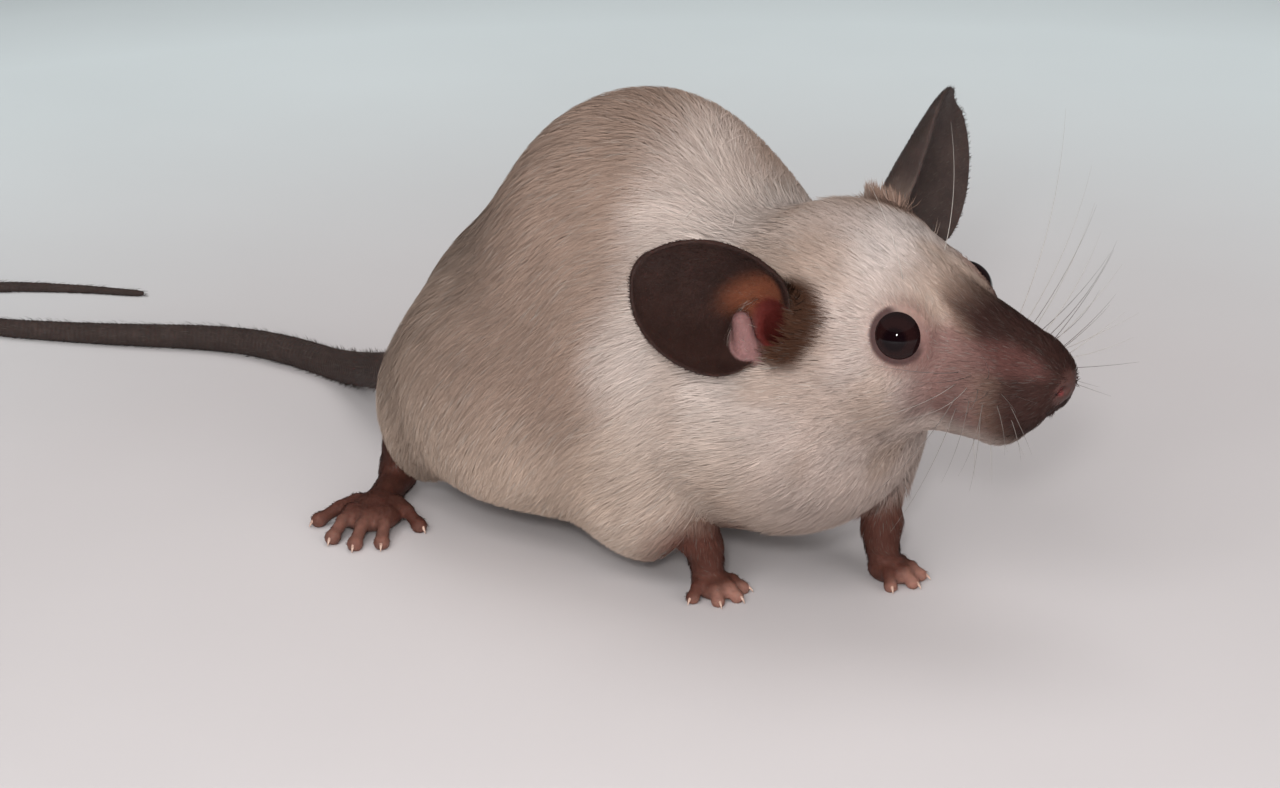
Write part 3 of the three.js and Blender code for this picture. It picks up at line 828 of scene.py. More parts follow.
def tube(points, radii, sides):
    """Closed tube through points; returns vertices and triangles."""
    points = np.asarray(points, float)
    ahead = unit(np.gradient(points, axis=0))
    right = unit(np.cross(ahead, (0.013, 0.007, 1)))
    up = np.cross(right, ahead)
    angle = np.arange(sides) * 2 * np.pi / sides
    ring = np.cos(angle)[:, None, None] * up + np.sin(angle)[:, None, None] * right
    rings = points + np.asarray(radii)[:, None] * ring
    vertices = np.concatenate([rings.transpose(1, 0, 2).reshape(-1, 3), points[[0, -1]]])
    j = np.arange(sides)
    after = (j + 1) % sides
    rows = (np.arange(len(points) - 1) * sides)[:, None]
    faces = [np.stack([rows + j, rows + after, rows + sides + after], -1).reshape(-1, 3),
             np.stack([rows + j, rows + sides + after, rows + sides + j], -1).reshape(-1, 3)]
    end = (len(points) - 1) * sides
    faces.append(np.stack([np.full(sides, len(vertices) - 2), after, j], -1))
    faces.append(np.stack([np.full(sides, len(vertices) - 1), end + j, end + after], -1))
    return vertices, np.concatenate(faces)


TAIL_RING = 0.42  # spacing of the rings of scales
TAIL_POINTS, TAIL_FINE_POINTS = 400, 3000  # along the tail's middle line
tail_route = TAIL_DROP + TAIL_FLOOR
tail_points = [p if len(p) == 3 else (*p, TAIL_PRESS * lerp(*TAIL_RADII, share))
               for share, p in zip(np.linspace(0, 1, len(tail_route)), tail_route)]
tail_line = catmull(tail_points, TAIL_POINTS)


def tail_tube():
    """The tail as a tube whose rings of scales overlap, tip inwards."""
    length_of_tail = np.linalg.norm(np.diff(tail_line, axis=0), axis=1).sum()
    rings = int(length_of_tail / TAIL_RING)
    at = (np.arange(rings)[:, None] + (0, 0.55, 0.9)).ravel() / rings
    step = np.tile((1.0, 1.035, 0.955), rings)
    fine = catmull(tail_points, TAIL_FINE_POINTS)
    run = np.linspace(0, 1, TAIL_FINE_POINTS)
    route = np.stack([np.interp(at, run, fine[:, k]) for k in range(3)], 1)
    radius = lerp(*TAIL_RADII, at) * step * smooth(1.004 - at, 0, 0.012) ** 0.5
    points, faces = tube(route, radius, 20)
    points[:, 2] = np.maximum(points[:, 2], 0)
    return points, faces


# ---- one skin

HEAD_BOX = ((-9, -21, 3), (27, 22, 38), 0.15)
BODY_BOX = ((-40, -24, -1.2), (18, 20, 36), 0.28)


def cut_surface(form, box, ahead):
    """A form's surface on one side of the neck's seam, as a bmesh."""
    points, quads = polygonise(form, *box)
    points = settle(form, points.astype(np.float32))
    points[:, 2] = np.maximum(points[:, 2], 0)
    part = bmesh.new()
    part.from_mesh(raw_mesh(points, quads))
    bmesh.ops.bisect_plane(part, geom=[*part.verts, *part.edges, *part.faces], dist=1e-5,
                           plane_co=seam_normal * NECK_SEAM, plane_no=seam_normal,
                           clear_outer=not ahead, clear_inner=ahead)
    return part


def zip_seam(mesh, loops):
    """Closes the seam between two loops of vertices in one plane, each sorted round it."""
    (a, turn_a), (b, turn_b) = loops
    i = j = 0
    while i < len(a) or j < len(b):
        next_a = turn_a[i + 1] if i + 1 < len(a) else turn_a[0] + 2 * np.pi
        next_b = turn_b[j + 1] if j + 1 < len(b) else turn_b[0] + 2 * np.pi
        v, w = a[i % len(a)], b[j % len(b)]
        if j >= len(b) or (i < len(a) and next_a <= next_b):
            mesh.faces.new((v, w, a[(i + 1) % len(a)]))
            i += 1
        else:
            mesh.faces.new((v, w, b[(j + 1) % len(b)]))
            j += 1


def skin_surface():
    """One closed surface of the whole body, with the tail's tube set in the rump."""
    whole = bmesh.new()
    loops = []
    across = np.array([0, 1, 0])
    up = np.cross(seam_normal, across)
    for form, box, ahead in ((head_skin, HEAD_BOX, True), (body_skin, BODY_BOX, False)):
        part = cut_surface(form, box, ahead)
        mesh = bpy.data.meshes.new("part")
        part.to_mesh(mesh)
        before = len(whole.verts)
        whole.from_mesh(mesh)
        whole.verts.ensure_lookup_table()
        rim = [v for v in whole.verts[before:] if v.is_boundary]
        middle = seam_normal * NECK_SEAM + (-2, 0, 3.46)
        off = np.array([v.co for v in rim]) - middle
        turn = np.arctan2(off @ up, off @ across)
        order = np.argsort(turn)
        loops.append(([rim[k] for k in order], turn[order]))
    zip_seam(whole, loops)
    bmesh.ops.recalc_face_normals(whole, faces=whole.faces)
    flesh = len(whole.verts)
    whole.from_mesh(raw_mesh(*tail_tube()))
    return whole, flesh


skin_material = shader("skin", 0.6, bump=(0.25, 0.05), mottle=(0.5, 0.12), Specular_IOR_Level=0.25,
                       Subsurface_Weight=0.12, Subsurface_Scale=0.001)


def make_skin():
    surface, flesh = skin_surface()
    mesh = bpy.data.meshes.new("skin")
    surface.to_mesh(mesh)
    points = read(mesh.vertices, "co")
    piece = show("skin", mesh, skin_material)
    paint(piece, skin_colour(points, np.arange(len(points)) >= flesh))
    flesh_nodes = [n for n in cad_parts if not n.startswith("eye")]
    dress(piece, "coat_saddle", *flesh_nodes)
    return piece


skin = make_skin()

# ---- eyes, claws and whiskers

EYEBALL_RADIUS = EYE_RADIUS - 0.02
CORNEA_RISE, CORNEA_SPREAD = 0.035, 0.55  # as a share of the radius, and in radians
PUPIL = srgb(12, 4, 6)
IRIS = srgb(28, 13, 13)
EYE_EDGE = srgb(20, 9, 10)
# Pale colour on the lids' edge: a painted highlight.
LID_EDGE_HIGHLIGHT = srgb(186, 160, 156)
LID_EDGE_RADIUS = 0.055
RING_POINTS = 73  # round the lids' edge, the last on the first
eye_material = shader("eye", 0.05, IOR=1.27)


def make_eye(name, side):
    """An eyeball with a bulging cornea, ringed round the way it looks, and its lids' moist edge, which
    carries a painted highlight.

    Both are worked out for the left eye, and the right one mirrors them.
    """
    rows, columns = 48, 64
    theta = np.linspace(0, np.pi, rows + 2)[1:-1]
    radius = EYEBALL_RADIUS * (1 + CORNEA_RISE * np.exp(-((theta / CORNEA_SPREAD) ** 2)))
    axis = unit(EYE_AXIS)
    centres = eye_centre(1) + axis * (radius * np.cos(theta))[:, None]
    points, faces = tube(centres[::-1], (radius * np.sin(theta))[::-1], columns)
    points[-2:] = eye_centre(1) + axis * EYE_RADIUS * np.array([[-0.98], [1.025]])
    away = np.arccos(np.clip(unit(points - eye_centre(1)) @ axis, -1, 1))
    colour = painted(PUPIL, (IRIS, smooth(away, 0.3, 0.5)), (EYE_EDGE, smooth(away, 0.65, 0.95)))
    add_piece(f"eyeball_{name}", from_head(points * (1, side, 1)), faces[:, ::side], eye_material,
              colour, "eye", f"eye_{name}")
    # The moist edge of the lids, a thin ring where they meet the eye; its pale top and lower front are a
    # painted highlight.
    first = unit(np.cross(axis, (0, 0, 1)))
    angle = np.linspace(0, 2 * np.pi, RING_POINTS)[:, None]
    wide = EYE_OPENING - 0.07
    centre = eye_centre(1) + axis * np.sqrt(EYEBALL_RADIUS**2 - wide**2)
    ring = centre + wide * (first * np.cos(angle) + np.cross(axis, first) * np.sin(angle))
    points, faces = tube(ring, np.full(RING_POINTS, LID_EDGE_RADIUS), 8)
    off = (points - centre) / EYE_OPENING
    # Pale along the top and lower front of the ring: a painted highlight.
    painted_highlight = np.maximum(smooth(off[:, 2], 0.75, 0.95), smooth(off[:, 0] - off[:, 2], 1.05, 1.3))
    add_piece(f"lid_edge_{name}", from_head(points * (1, side, 1)), faces[:, ::side], eye_material,
              blend(EYE_EDGE, LID_EDGE_HIGHLIGHT, painted_highlight), "eye")


def bent(start, middle, end, count):
    """Points along a curve that leaves start towards middle and comes into end."""
    t = np.linspace(0, 1, count)[:, None]
    start, middle, end = (np.asarray(v, float) for v in (start, middle, end))
    return start * (1 - t) ** 2 + 2 * middle * t * (1 - t) + end * t**2


def joined(parts):
    """Several (points, faces) as one."""
    counts = np.cumsum([0] + [len(points) for points, _ in parts])
    faces = [f + n for (_, f), n in zip(parts, counts)]
    return np.concatenate([points for points, _ in parts]), np.concatenate(faces)


CLAW_ROOT = srgb(160, 118, 104)
CLAW_TIP = srgb(188, 162, 146)
CLAW_POINTS, CLAW_SIDES = 9, 10
claw_material = shader("claw", 0.3, mottle=(0.2, 0.08), Coat_Weight=0.3)


def make_claws():
    parts, shades = [], []
    for name, side in SIDES.items():
        feet = ((foot_frame(*FOREFOOT[name]), FINGERS, FINGER_RADII),
                (foot_frame(*HINDFOOT[name][:2]), TOES, TOE_RADII))
        for (_, axes, place), digits, radii in feet:
            for root, tip in digits:
                _, joint, end = digit_points(root, tip, radii, -side)
                run = (end - joint) * (1, 1, 0)
                run = run / np.linalg.norm(run)
                reach = radii[1] * 0.6 + CLAW_LENGTH
                top = end + (0, 0, radii[1] * 0.25)
                point = end * (1, 1, 0) + run * reach + (0, 0, 0.07)
                line = bent(top, top + run * reach * 0.65 + (0, 0, 0.12), point, CLAW_POINTS)
                share = np.linspace(0, 1, CLAW_POINTS)
                points, faces = tube(line, radii[1] * lerp(0.42, 0.05, share**1.3), CLAW_SIDES)
                parts.append((points @ axes.T + place, faces))
                along = np.append(np.repeat(share, CLAW_SIDES), (0, 1))
                shades.append(blend(CLAW_ROOT, CLAW_TIP, along))
    add_piece("claws", *joined(parts), claw_material, np.concatenate(shades), "claw")


# Whiskers: rows on each pad from the top, as [height, number], and how far each row's fan rises.
WHISKER_ROWS = [(-2.3, 5), (-3.1, 6), (-3.9, 5), (-4.8, 3)]
WHISKER_RISE = {"left": (0.8, 0.38, 0, -0.4), "right": (0.42, 0.2, -0.15, -0.6)}
WHISKER_FORWARD = {"left": (0.0, 0.7), "right": (0.22, 0.75)}  # of the hindmost and the foremost
WHISKER_PLACES = (4.4, 8.6)  # of the hindmost and foremost in a row, along the head
WHISKER_LENGTH = (16.5, 6)
WHISKER_RADIUS = 0.028
WHISKER_POINTS = 12  # along each
WHISKER_SWEEP = np.array([-0.16, 0, 0.06])  # how far the tips bend back and up
WHISKER_DARK = srgb(76, 66, 62)
WHISKER_PALE = srgb(225, 216, 208)
whisker_material = shader("whisker", 0.4)


def whisker(root, heading, reach, sag):
    """A whisker in the head's frame: a thin tapered bristle that bends back and down."""
    heading = heading / np.linalg.norm(heading)
    middle = root + heading * reach * 0.5
    end = root + heading * reach + WHISKER_SWEEP * reach * sag
    line = bent(root - heading * 0.5, middle, end, WHISKER_POINTS)
    return tube(line, WHISKER_RADIUS * lerp(1, 0.16, np.linspace(0, 1, WHISKER_POINTS)), 5)


def drop(start, heading):
    """Where a ray from start, in the head's frame, meets the skin."""
    start, heading = array(*start), array(*heading)
    far = np.float32(0)
    for _ in range(60):
        far += head_skin(from_head(start + heading * far)[None])[0] * 0.7
    return start + heading * far


def make_whiskers():
    rng = np.random.default_rng(11)
    parts, shades = [], []

    def add(root, heading, reach, sag, pale):
        points, faces = whisker(np.array(root), np.array(heading), reach, sag)
        parts.append((from_head(points), faces))
        shades.append(np.broadcast_to(lerp(WHISKER_DARK, WHISKER_PALE, pale), points.shape))

    for name, side in SIDES.items():
        for (height, count), rise in zip(WHISKER_ROWS, WHISKER_RISE[name]):
            for ahead in np.linspace(0, 1, count):
                x = lerp(*WHISKER_PLACES, ahead) + rng.uniform(-0.1, 0.1)
                root = drop((x, side * 6, height), (0, -side, 0))
                fan = (lerp(*WHISKER_FORWARD[name], ahead), side * lerp(0.95, 0.6, ahead), rise)
                reach = lerp(*WHISKER_LENGTH, ahead**0.8) * (rng.uniform(0.8, 1) if ahead else 1)
                pale = rng.choice((0, 0.1, 0.4)) if rise > -0.1 else 0.15
                reach *= 1 if rise > -0.3 else 0.7
                heading = fan + rng.uniform(-0.13, 0.13, 3) * (ahead > 0)
                add(root, heading, reach, rng.uniform(0.4, 1.3), pale)
        brow = drop((-0.8, side * 2.7, 8), (0, 0, -1))
        add(brow, (0.12, side * 0.35, 1.0), 8.5, 1.6, 0.5)
        for x in (4.2, 5.6):
            add(drop((x, side * 1.3, -12), (0, 0, 1)), (0.3, side * 0.35, -1), 3.2, 0.3, 0.3)
    add_piece("whiskers", *joined(parts), whisker_material, np.concatenate(shades), "whisker",
              "whiskers_left", "whiskers_right")


for eye_name, eye_side in SIDES.items():
    make_eye(eye_name, eye_side)
make_claws()
make_whiskers()

# ---- the coat

PALE_HAIR = srgb(232, 222, 212)
THIN = 1.0
BROAD = 2 if THIN < 1 else 1


def ear_tuft(q):
    """How near the outside of an ear's root places in the head's frame are, with that ear's axis."""
    near = np.zeros(q.shape[:-1], np.float32)
    axis = np.zeros(q.shape, np.float32)
    for name in SIDES:
        root, along, _, _ = ear_frame(name)
        close = smooth(-ear(q, name), -2.6, -0.3) * smooth(-length(q - root), -7.5, -4.5)
        axis = blend(axis, along, (close > near).astype(np.float32))
        near = np.maximum(near, close)
    return near, axis


def lay_of_coat(p):
    """The way the hair lies at body points, before it is laid along the skin."""
    q = to_head(p)
    over_head = unit(q - array(12.5, 0, -2.2)) @ head_axes.T
    down = lerp(0.6, 1.7, smooth(-p[..., 0], -2, 22))
    over_trunk = np.stack([-np.ones_like(down), np.zeros_like(down), -down], -1)
    lay = unit(blend(over_trunk, over_head, smooth(q[..., 0], -17, -7)))
    near, axis = ear_tuft(q)
    lay = unit(lay + axis @ head_axes.T * 1.4 * near[..., None])
    # Hair parts round the eyes.
    off = from_eye(q) * np.stack([np.ones_like(down), np.sign(q[..., 1]), np.ones_like(down)], -1)
    away = smooth(EYE_RADIUS - length(off), -2.2, -0.2)
    return unit(lay + unit(off) @ head_axes.T * 1.6 * away[..., None])


def lay_of_limbs(p):
    """Down the legs and along the feet."""
    heading = down = array(0, 0, -1)
    nearest = np.full(p.shape[:-1], FAR_AWAY, np.float32)
    for name in SIDES:
        for (at, turn), middle in ((FOREFOOT[name], 1), (HINDFOOT[name][:2], 6)):
            local, axes, _ = foot_frame(at, turn)
            off = length(local(p)[..., :2] - (middle, 0))
            along = unit(blend(axes[:, 0], down, smooth(p[..., 2], 1.8, 4)))
            heading = np.where((off < nearest)[..., None], along, heading)
            nearest = np.minimum(off, nearest)
    return heading


def lay_of_ears(p):
    return unit(to_head(p) - array(-8.4, 0, 1)) @ head_axes.T


def down_of_ears(p):
    q = to_head(p)
    left = q[:, 1:2] > 0
    return np.where(left, ear_colour(q, "left"), ear_colour(q, "right")) * 1.2


class Roots:
    """Points spread over one part of the skin for hairs to grow from, with its way out at each."""

    def __init__(self, part, density, seed, keep=True):
        """density says how many hairs grow on a square millimetre, and keep which triangles have any."""
        self.part = part
        self.rng = np.random.default_rng(seed)
        some = np.flatnonzero((skin_part == part) & keep)
        expected = skin_areas[some] * density(skin_centres[some]) * THIN
        total = int(expected.sum())
        pick = np.searchsorted(np.cumsum(expected), self.rng.random(total) * expected.sum())
        corners = skin_triangles[some[np.minimum(pick, len(some) - 1)]]
        u, v = self.rng.random((2, total, 1))
        flip = u + v > 1
        u, v = np.where(flip, 1 - u, u), np.where(flip, 1 - v, v)

        def mix(field):
            a, b, c = (field[corners[:, k]] for k in range(3))
            return (a * (1 - u - v) + b * u + c * v).astype(np.float32)

        self.at = mix(skin_points)
        self.out = unit(mix(skin_normals))


skin.data.calc_loop_triangles()
skin_triangles = read(skin.data.loop_triangles, "vertices", np.int32)
skin_points = read(skin.data.vertices, "co") * 1000 - shift.astype(np.float32)
skin_normals = read(skin.data.vertices, "normal")
skin_centres = skin_points[skin_triangles].mean(1)
corner_a, corner_b, corner_c = (skin_points[skin_triangles[:, k]] for k in range(3))
skin_areas = np.linalg.norm(np.cross(corner_b - corner_a, corner_c - corner_a), axis=1) / 2
skin_proud = body_form(skin_centres) + coat_depth(to_head(skin_centres))
TRUNK_PART, HEAD_PART, EAR_PART, LIMB_PART, TAIL_PART = range(5)


def part_of_skin(p, proud):
    """Which part of the animal each place on the skin belongs to.

    proud is how far it stands out of the trunk and head, as the ears, feet and tail do.
    """
    q = to_head(p)
    x, y, z = split(p)
    part = np.where(q[:, 0] > -8.5, HEAD_PART, TRUNK_PART)
    on_ear = (proud > 0.7) & (z > 15) & (np.abs(q[:, 1]) > 3.5) & (q[:, 0] < -1)
    part = np.where(on_ear, EAR_PART, part)
    part = np.where((proud > 0.45) & (z < 12), LIMB_PART, part)
    return np.where((x < -34.5) & (np.abs(y) < 9.5) | (x < -41), TAIL_PART, part)


skin_part = part_of_skin(skin_centres, skin_proud)


def unwrap(p, part):
    """Places on an unwrap of the skin: each part rolled out round its own axis, side by side."""
    x, y, z = split(p)
    q = to_head(p)
    if part == TAIL_PART:
        return np.stack([smooth(x, -100, -30), 0.5 + y / 40], -1)
    if part == LIMB_PART:
        fore, left = (x > -14)[:, None], (y > 0)[:, None]
        middle = np.where(fore, np.where(left, (6.5, 4.5), (-1, -7)),
                          np.where(left, (-24, 10), (-29, -11)))
        off = (p[:, :2] - middle) * (1 + 0.06 * z[:, None])
        return np.hstack([fore, left]) * 0.5 + 0.25 + np.clip(off / 50, -0.24, 0.24)
    if part == EAR_PART:
        along, side, high = split(q)
        half = np.where(side > 0, 0.5, 0.0)
        out = np.clip(np.abs(side), 0, 22) + np.clip(high, -9, 9) * 0.5
        return np.stack([half + 0.25 + np.clip(along + 7, -7, 7) / 30, (out + 5) / 40], -1)
    places, axis_height, low, top = (q, -2.5, -12, 12) if part == HEAD_PART else (p, 14, -38, 14)
    along, side, high = split(places)
    round_axis = np.arctan2(side, high - axis_height) / (2 * np.pi) + 0.5
    return np.stack([np.clip((along - low) / (top - low), 0, 1), round_axis], -1) * 0.98 + 0.01


PATCH = 0.003  # width of a hair's patch on the unwrap
TONE_SPREAD = 0.09  # of the lightness from hair to hair
ROOT_DEPTH = 0.06  # of the blades' roots in the skin
HAIR_CLEARANCE = 0.02  # above the floor


def drift(p, size, seed):
    """Smooth random vectors, each part from -0.5 to 0.5."""
    return np.stack([noise(p, size, seed + k) for k in range(3)], -1) - 0.5


def along_skin(v, out):
    return v - out * dot(v, out)[:, None]


def make_coat(name, slot, roots, lay, colour, size, width, lift,
              stations=(0, 0.5), clump=None, steady=None):
    """Hairs as flat tapered blades over the skin, all in one mesh.

    lay and colour are functions of places. size, width and lift are a hair's length, width and the
    height of its tip, in millimetres. stations are shares of the length where the blade has a pair
    of corners. clump is (cell, pull): tips draw together in tufts that wide. steady is a form whose
    surface the blades follow. Blades are shaded mostly by the slope of the skin under them.
    """
    rng, root, out = roots.rng, roots.at, roots.out
    count = len(root)
    ahead = unit(lay(root) + 0.3 * drift(root, 4, 11) + rng.normal(0, 0.1, (count, 3)))
    ahead = unit(along_skin(ahead, out))
    side = np.cross(out, ahead)
    roll = rng.normal(0, 0.28, count)[:, None]
    across = side * np.cos(roll) + out * np.sin(roll)
    reach = (size * rng.uniform(0.7, 1.15, count))[:, None]
    height = (lift * rng.uniform(0.8, 1.0, count))[:, None]
    width = np.broadcast_to(width, count)[:, None]
    pull = 0
    if clump:
        cell, strength = clump
        pull = along_skin(drift(root, cell * 0.8, 21), out) * 2 * cell * strength
    corners = []
    shares = (*stations, 1.0)
    for share in shares:
        middle = root + ahead * reach * share + pull * share**2
        rise = height * (1 - (1 - share) ** 2) - (ROOT_DEPTH if share == 0 else 0)
        if steady and share > 0:
            slant = unit(slope(steady, middle, 0.2))
            middle = middle + slant * (rise - steady(middle)[:, None])
        else:
            middle = middle + out * rise
        middle[:, 2] = np.maximum(middle[:, 2], HAIR_CLEARANCE)
        half = width / 2 * (1 - 0.35 * share)
        corners += [middle] if share == 1 else [middle - across * half, middle + across * half]
    points = np.stack(corners, 1)
    per = points.shape[1]
    pairs = len(stations)
    blade = [(2 * k, 2 * k + 3, 2 * k + 1) for k in range(pairs - 1)]
    blade += [(2 * k, 2 * k + 2, 2 * k + 3) for k in range(pairs - 1)]
    blade = np.array([*blade, (per - 3, per - 1, per - 2)])
    faces = (np.arange(count)[:, None, None] * per + blade).reshape(-1, 3)
    piece = show(name, raw_mesh(points.reshape(-1, 3), faces, name), coat_material)
    facing = np.cross(across, ahead)
    facing = facing * np.sign(dot(facing, out))[:, None]
    normals = unit(out + 0.5 * facing).repeat(per, 0)
    piece.data.normals_split_custom_set_from_vertices(normals.astype(np.float64))
    tone = rng.normal(1, TONE_SPREAD, (count, 1)) * lerp(0.9, 1.1, noise(root, 1.6, 31))[:, None]
    hair = np.clip(colour(root + ahead * reach * 0.6) * tone, 0, 1)
    guard = (rng.random(count) < 0.1) * rng.uniform(0.2, 0.6, count)
    hair = blend(hair, PALE_HAIR * hair.mean(1, keepdims=True) ** 0.65, guard)
    ramp = np.array([s for share in stations for s in (share, share)] + [1.0])
    paint(piece, (hair[:, None] * lerp(0.97, 1.05, ramp)[None, :, None]).reshape(-1, 3))
    layer = piece.data.uv_layers.new(name="OFBake")
    patch = [(edge, 2 * share - 1) for share in stations for edge in (-1, 1)]
    uv = unwrap(root, roots.part)[:, None] + np.array([*patch, (0, 1)]) * PATCH / 2
    layer.data.foreach_set("uv", uv.reshape(-1, 2)[faces.ravel()].astype(np.float32).ravel())
    dress(piece, slot)


def coated(p):
    """Distance to the skin of the trunk and head under the coat."""
    return body_form(p) + coat_depth(to_head(p))


coat_material = shader("coat", 0.75, Specular_IOR_Level=0.25)

# Trunk hair: pieces from rump to shoulders, [front edge, name, slot], each from the last one's edge.
TRUNK_PIECES = [(-24, "coat_rump", "coat_saddle"), (-17.5, "coat_loin", "coat_saddle"),
                (-11.5, "coat_saddle_back", "coat_saddle"), (-6, "coat_ribs", "coat_saddle"),
                (0, "coat_shoulders", "coat_collar"), (30, "coat_neck", "coat_collar")]
TRUNK_DENSITY = 46  # hairs on a square millimetre
TRUNK_HAIR_LENGTH = (3.0, 4.6)
TRUNK_HAIR_WIDTH = 0.068
TIP_HEIGHT = 0.95  # of the coat's depth


def trunk_density(p):
    return TRUNK_DENSITY * clear_of_ears(to_head(p))


edge = -FAR_AWAY
for k, (front, piece_name, slot_name) in enumerate(TRUNK_PIECES):
    x = skin_centres[:, 0]
    roots = Roots(TRUNK_PART, trunk_density, 100 + k, (x >= edge) & (x < front))
    q = to_head(roots.at)
    depth = coat_depth(q)
    long = lerp(*TRUNK_HAIR_LENGTH, smooth(depth, 0.9, 1.25)) * smooth(roots.at[:, 2] + 3, 2, 7)
    make_coat(piece_name, slot_name, roots, lay_of_coat, coat_colour, size=long,
              width=TRUNK_HAIR_WIDTH * BROAD, lift=depth * TIP_HEIGHT + ear_tuft(q)[0],
              stations=(0, 0.35, 0.7), clump=(1.3, 0.12), steady=coated)
    edge = front

# Head hair: shorter and finer towards the nose, shortest round the eyes.
HEAD_HAIR_LENGTH = ((-9, -4, 2, 6, 10), (2.7, 1.9, 1.3, 1.0, 0.65))  # places and lengths there
HEAD_HAIR_WIDTH = ((-9, 2, 8), (0.07, 0.06, 0.055))
HEAD_DENSITY = (90, 120)
FACE_EDGE = -1.5  # where the piece of the face starts


def head_density(p):
    q = to_head(p)
    bare = smooth(q[:, 0] - 0.25 * q[:, 2], 12.0, 11.3)
    bare *= smooth(eye_gap(q), 0.2, 0.5)
    return lerp(*HEAD_DENSITY, smooth(q[:, 0], -2, 7)) * bare * clear_of_ears(q)


on_face = to_head(skin_centres)[:, 0] >= FACE_EDGE
for k, (piece_name, keep) in enumerate((("coat_head", ~on_face), ("coat_face", on_face))):
    roots = Roots(HEAD_PART, head_density, 200 + k, keep)
    q = to_head(roots.at)
    long = np.interp(q[:, 0], *HEAD_HAIR_LENGTH)
    long = long * lerp(0.3, 1, smooth(eye_gap(q), 0.1, 2.2)) * lerp(1, 0.55, by_ear(q))
    lift = np.maximum(coat_depth(q) * TIP_HEIGHT, 0.08) + 0.1 * smooth(q[:, 0], 2, 6)
    make_coat(piece_name, "coat_face", roots, lay_of_coat, coat_colour, size=long,
              width=np.interp(q[:, 0], *HEAD_HAIR_WIDTH) * BROAD, lift=lift + 0.8 * ear_tuft(q)[0],
              clump=(0.8, 0.1))

# Legs and feet, sparse down on the ears, and bristles between the rings of the tail.
LIMB_DENSITY = (22, 75)
EAR_DENSITY = 26.0
TAIL_DENSITY = 12.0
TAIL_STRIDE = 8  # every so many points of the tail's line are tried for the nearest
roots = Roots(LIMB_PART, lambda p: lerp(*LIMB_DENSITY, smooth(p[:, 2], 1, 3)), 300,
              skin_centres[:, 2] > 0.3)
high = smooth(roots.at[:, 2], 1.2, 6)
make_coat("coat_limbs", "limb_fur", roots, lay_of_limbs, foot_colour, size=lerp(0.4, 1.3, high),
          width=lerp(0.04, 0.065, high), lift=lerp(0.07, 0.25, high), clump=(0.6, 0.15))
roots = Roots(EAR_PART, lambda p: np.full(len(p), EAR_DENSITY), 301)
make_coat("coat_ears", "ear_skin", roots, lay_of_ears, down_of_ears, size=0.45, width=0.04, lift=0.07)
tail_way = tail_line.astype(np.float32)
tail_ahead = unit(np.gradient(tail_way, axis=0))


def lay_of_tail(p):
    off = p[:, None, :2] - tail_way[None, ::TAIL_STRIDE, :2]
    return tail_ahead[np.argmin((off**2).sum(-1), 1) * TAIL_STRIDE]


roots = Roots(TAIL_PART, lambda p: np.full(len(p), TAIL_DENSITY), 302)
make_coat("coat_tail", "tail_skin", roots, lay_of_tail, lambda p: TAIL * 1.3, size=0.8, width=0.04,
          lift=0.14)

# ---- stage, lights and camera

# The camera looks at the animal's right front. Its view is that of a frame FRAME_WIDTH by
# FRAME_HEIGHT pixels, in which the floor under the shoulders is seen at AIM_PIXEL.
FRAME_WIDTH, FRAME_HEIGHT = 1280, 788
FOCAL_PIXELS = 4100
AIM = np.array([0, -6, 0])
AIM_PIXEL = (720, 598)
CAMERA_TURN, CAMERA_RISE = np.radians([45, 20])
CAMERA_REACH = 300
SENSOR = 36


def place_camera():
    data = bpy.data.cameras.new("camera")
    data.sensor_width = SENSOR
    data.lens = SENSOR * FOCAL_PIXELS / FRAME_WIDTH
    data.clip_start = 0.01
    right = np.array([np.cos(CAMERA_TURN), np.sin(CAMERA_TURN), 0])
    level = np.array([np.sin(CAMERA_TURN), -np.cos(CAMERA_TURN), 0])
    back = level * np.cos(CAMERA_RISE) + np.array([0, 0, np.sin(CAMERA_RISE)])
    up = np.cross(back, right)
    scale = CAMERA_REACH / FOCAL_PIXELS
    at = AIM + back * CAMERA_REACH
    at = at - right * (AIM_PIXEL[0] - FRAME_WIDTH / 2) * scale
    at = at + up * (AIM_PIXEL[1] - FRAME_HEIGHT / 2) * scale
    camera = bpy.data.objects.new("camera", data)
    camera.matrix_world = Matrix((*zip(right, up, back, (at + shift) / 1000), (0, 0, 0, 1)))
    bpy.context.scene.collection.objects.link(camera)
    bpy.context.scene.camera = camera


FLOOR_COLOUR = srgb(200, 194, 194)
WALL_COLOUR = srgb(226, 235, 237)
# Darker floor and wall far from the animal: painted shade.
FAR_PAINTED_SHADE = srgb(104, 109, 112)
FLOOR_RADIUS, SWEEP_RADIUS, WALL_HEIGHT = 520, 260, 300
FLOOR_GAP = 0.02  # below the soles


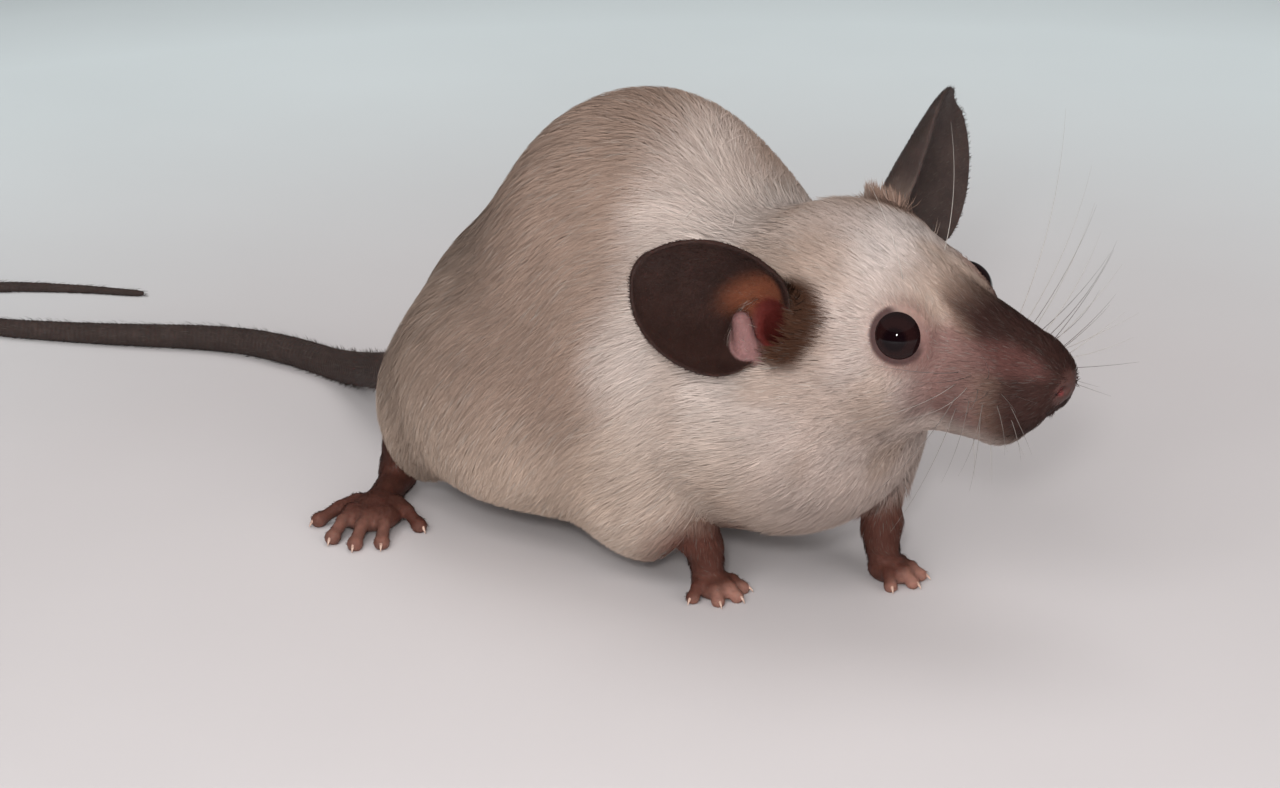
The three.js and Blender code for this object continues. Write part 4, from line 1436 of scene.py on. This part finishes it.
def make_stage():
    """A plain round floor that sweeps up into a low wall on every side, painted darker far out as
    painted shade.
    """
    bend = np.linspace(0, np.pi / 2, 25)[1:]
    sweep = ((FLOOR_RADIUS + SWEEP_RADIUS * np.sin(a), SWEEP_RADIUS * (1 - np.cos(a))) for a in bend)
    profile = [*((r, 0) for r in np.linspace(40, FLOOR_RADIUS, 25)), *sweep,
               (FLOOR_RADIUS + SWEEP_RADIUS, SWEEP_RADIUS + WALL_HEIGHT)]
    sides = 96
    turn = np.arange(sides) * 2 * np.pi / sides
    points = np.array([(r * np.cos(t), r * np.sin(t), z) for r, z in profile for t in turn])
    j = np.arange(sides)
    rows = (np.arange(len(profile) - 1) * sides)[:, None]
    after = (j + 1) % sides
    faces = np.stack([rows + j, rows + sides + j, rows + sides + after, rows + after], -1)
    faces = faces.reshape(-1, 4)
    points = np.concatenate([points, [(0, 0, 0)]])
    points[:, 2] -= FLOOR_GAP
    middle = np.stack([j, after, np.full(sides, len(points) - 1)], -1)
    faces = np.concatenate([faces[:, [0, 1, 2]], faces[:, [0, 2, 3]], middle])
    stage = show("stage", raw_mesh(points, faces), stage_material)
    out = np.hypot(points[:, 0], points[:, 1])
    walled = (WALL_COLOUR, smooth(out, 50, 170))
    paint(stage, painted(FLOOR_COLOUR, walled, (FAR_PAINTED_SHADE, smooth(out, 150, 270))))


def add_lamp(name, at, size, power, mirrored_in_eyes=False):
    """A round lamp at a place in body millimetres, aimed at the animal."""
    data = bpy.data.lights.new(name, "AREA")
    data.shape = "DISK"
    data.size = size / 1000
    data.energy = power
    lamp = bpy.data.objects.new(name, data)
    lamp.visible_glossy = mirrored_in_eyes
    aim = Vector((-5, 0, 15))
    lamp.location = (Vector(at) + Vector(shift)) / 1000
    lamp.rotation_euler = (Vector(at) - aim).to_track_quat("Z", "Y").to_euler()
    bpy.context.scene.collection.objects.link(lamp)


stage_material = shader("stage", 0.8, mottle=(40, 0.02))
make_stage()
place_camera()
add_lamp("key", (120, -330, 300), 280, 0.95)
add_lamp("low", (200, -260, 70), 160, 0.36)
add_lamp("fill", (430, -60, 160), 340, 0.86)
add_lamp("top", (-80, 120, 520), 420, 0.8)
add_lamp("flash", (190, -220, 150), 32, 0.4, mirrored_in_eyes=True)
world = bpy.data.worlds.new("world")
world.use_nodes = True
sky = world.node_tree.nodes["Background"]
fill(sky, Color=(1, 0.99, 0.98, 1), Strength=0.39)
bpy.context.scene.world = world
bpy.context.scene.view_settings.view_transform = "Standard"
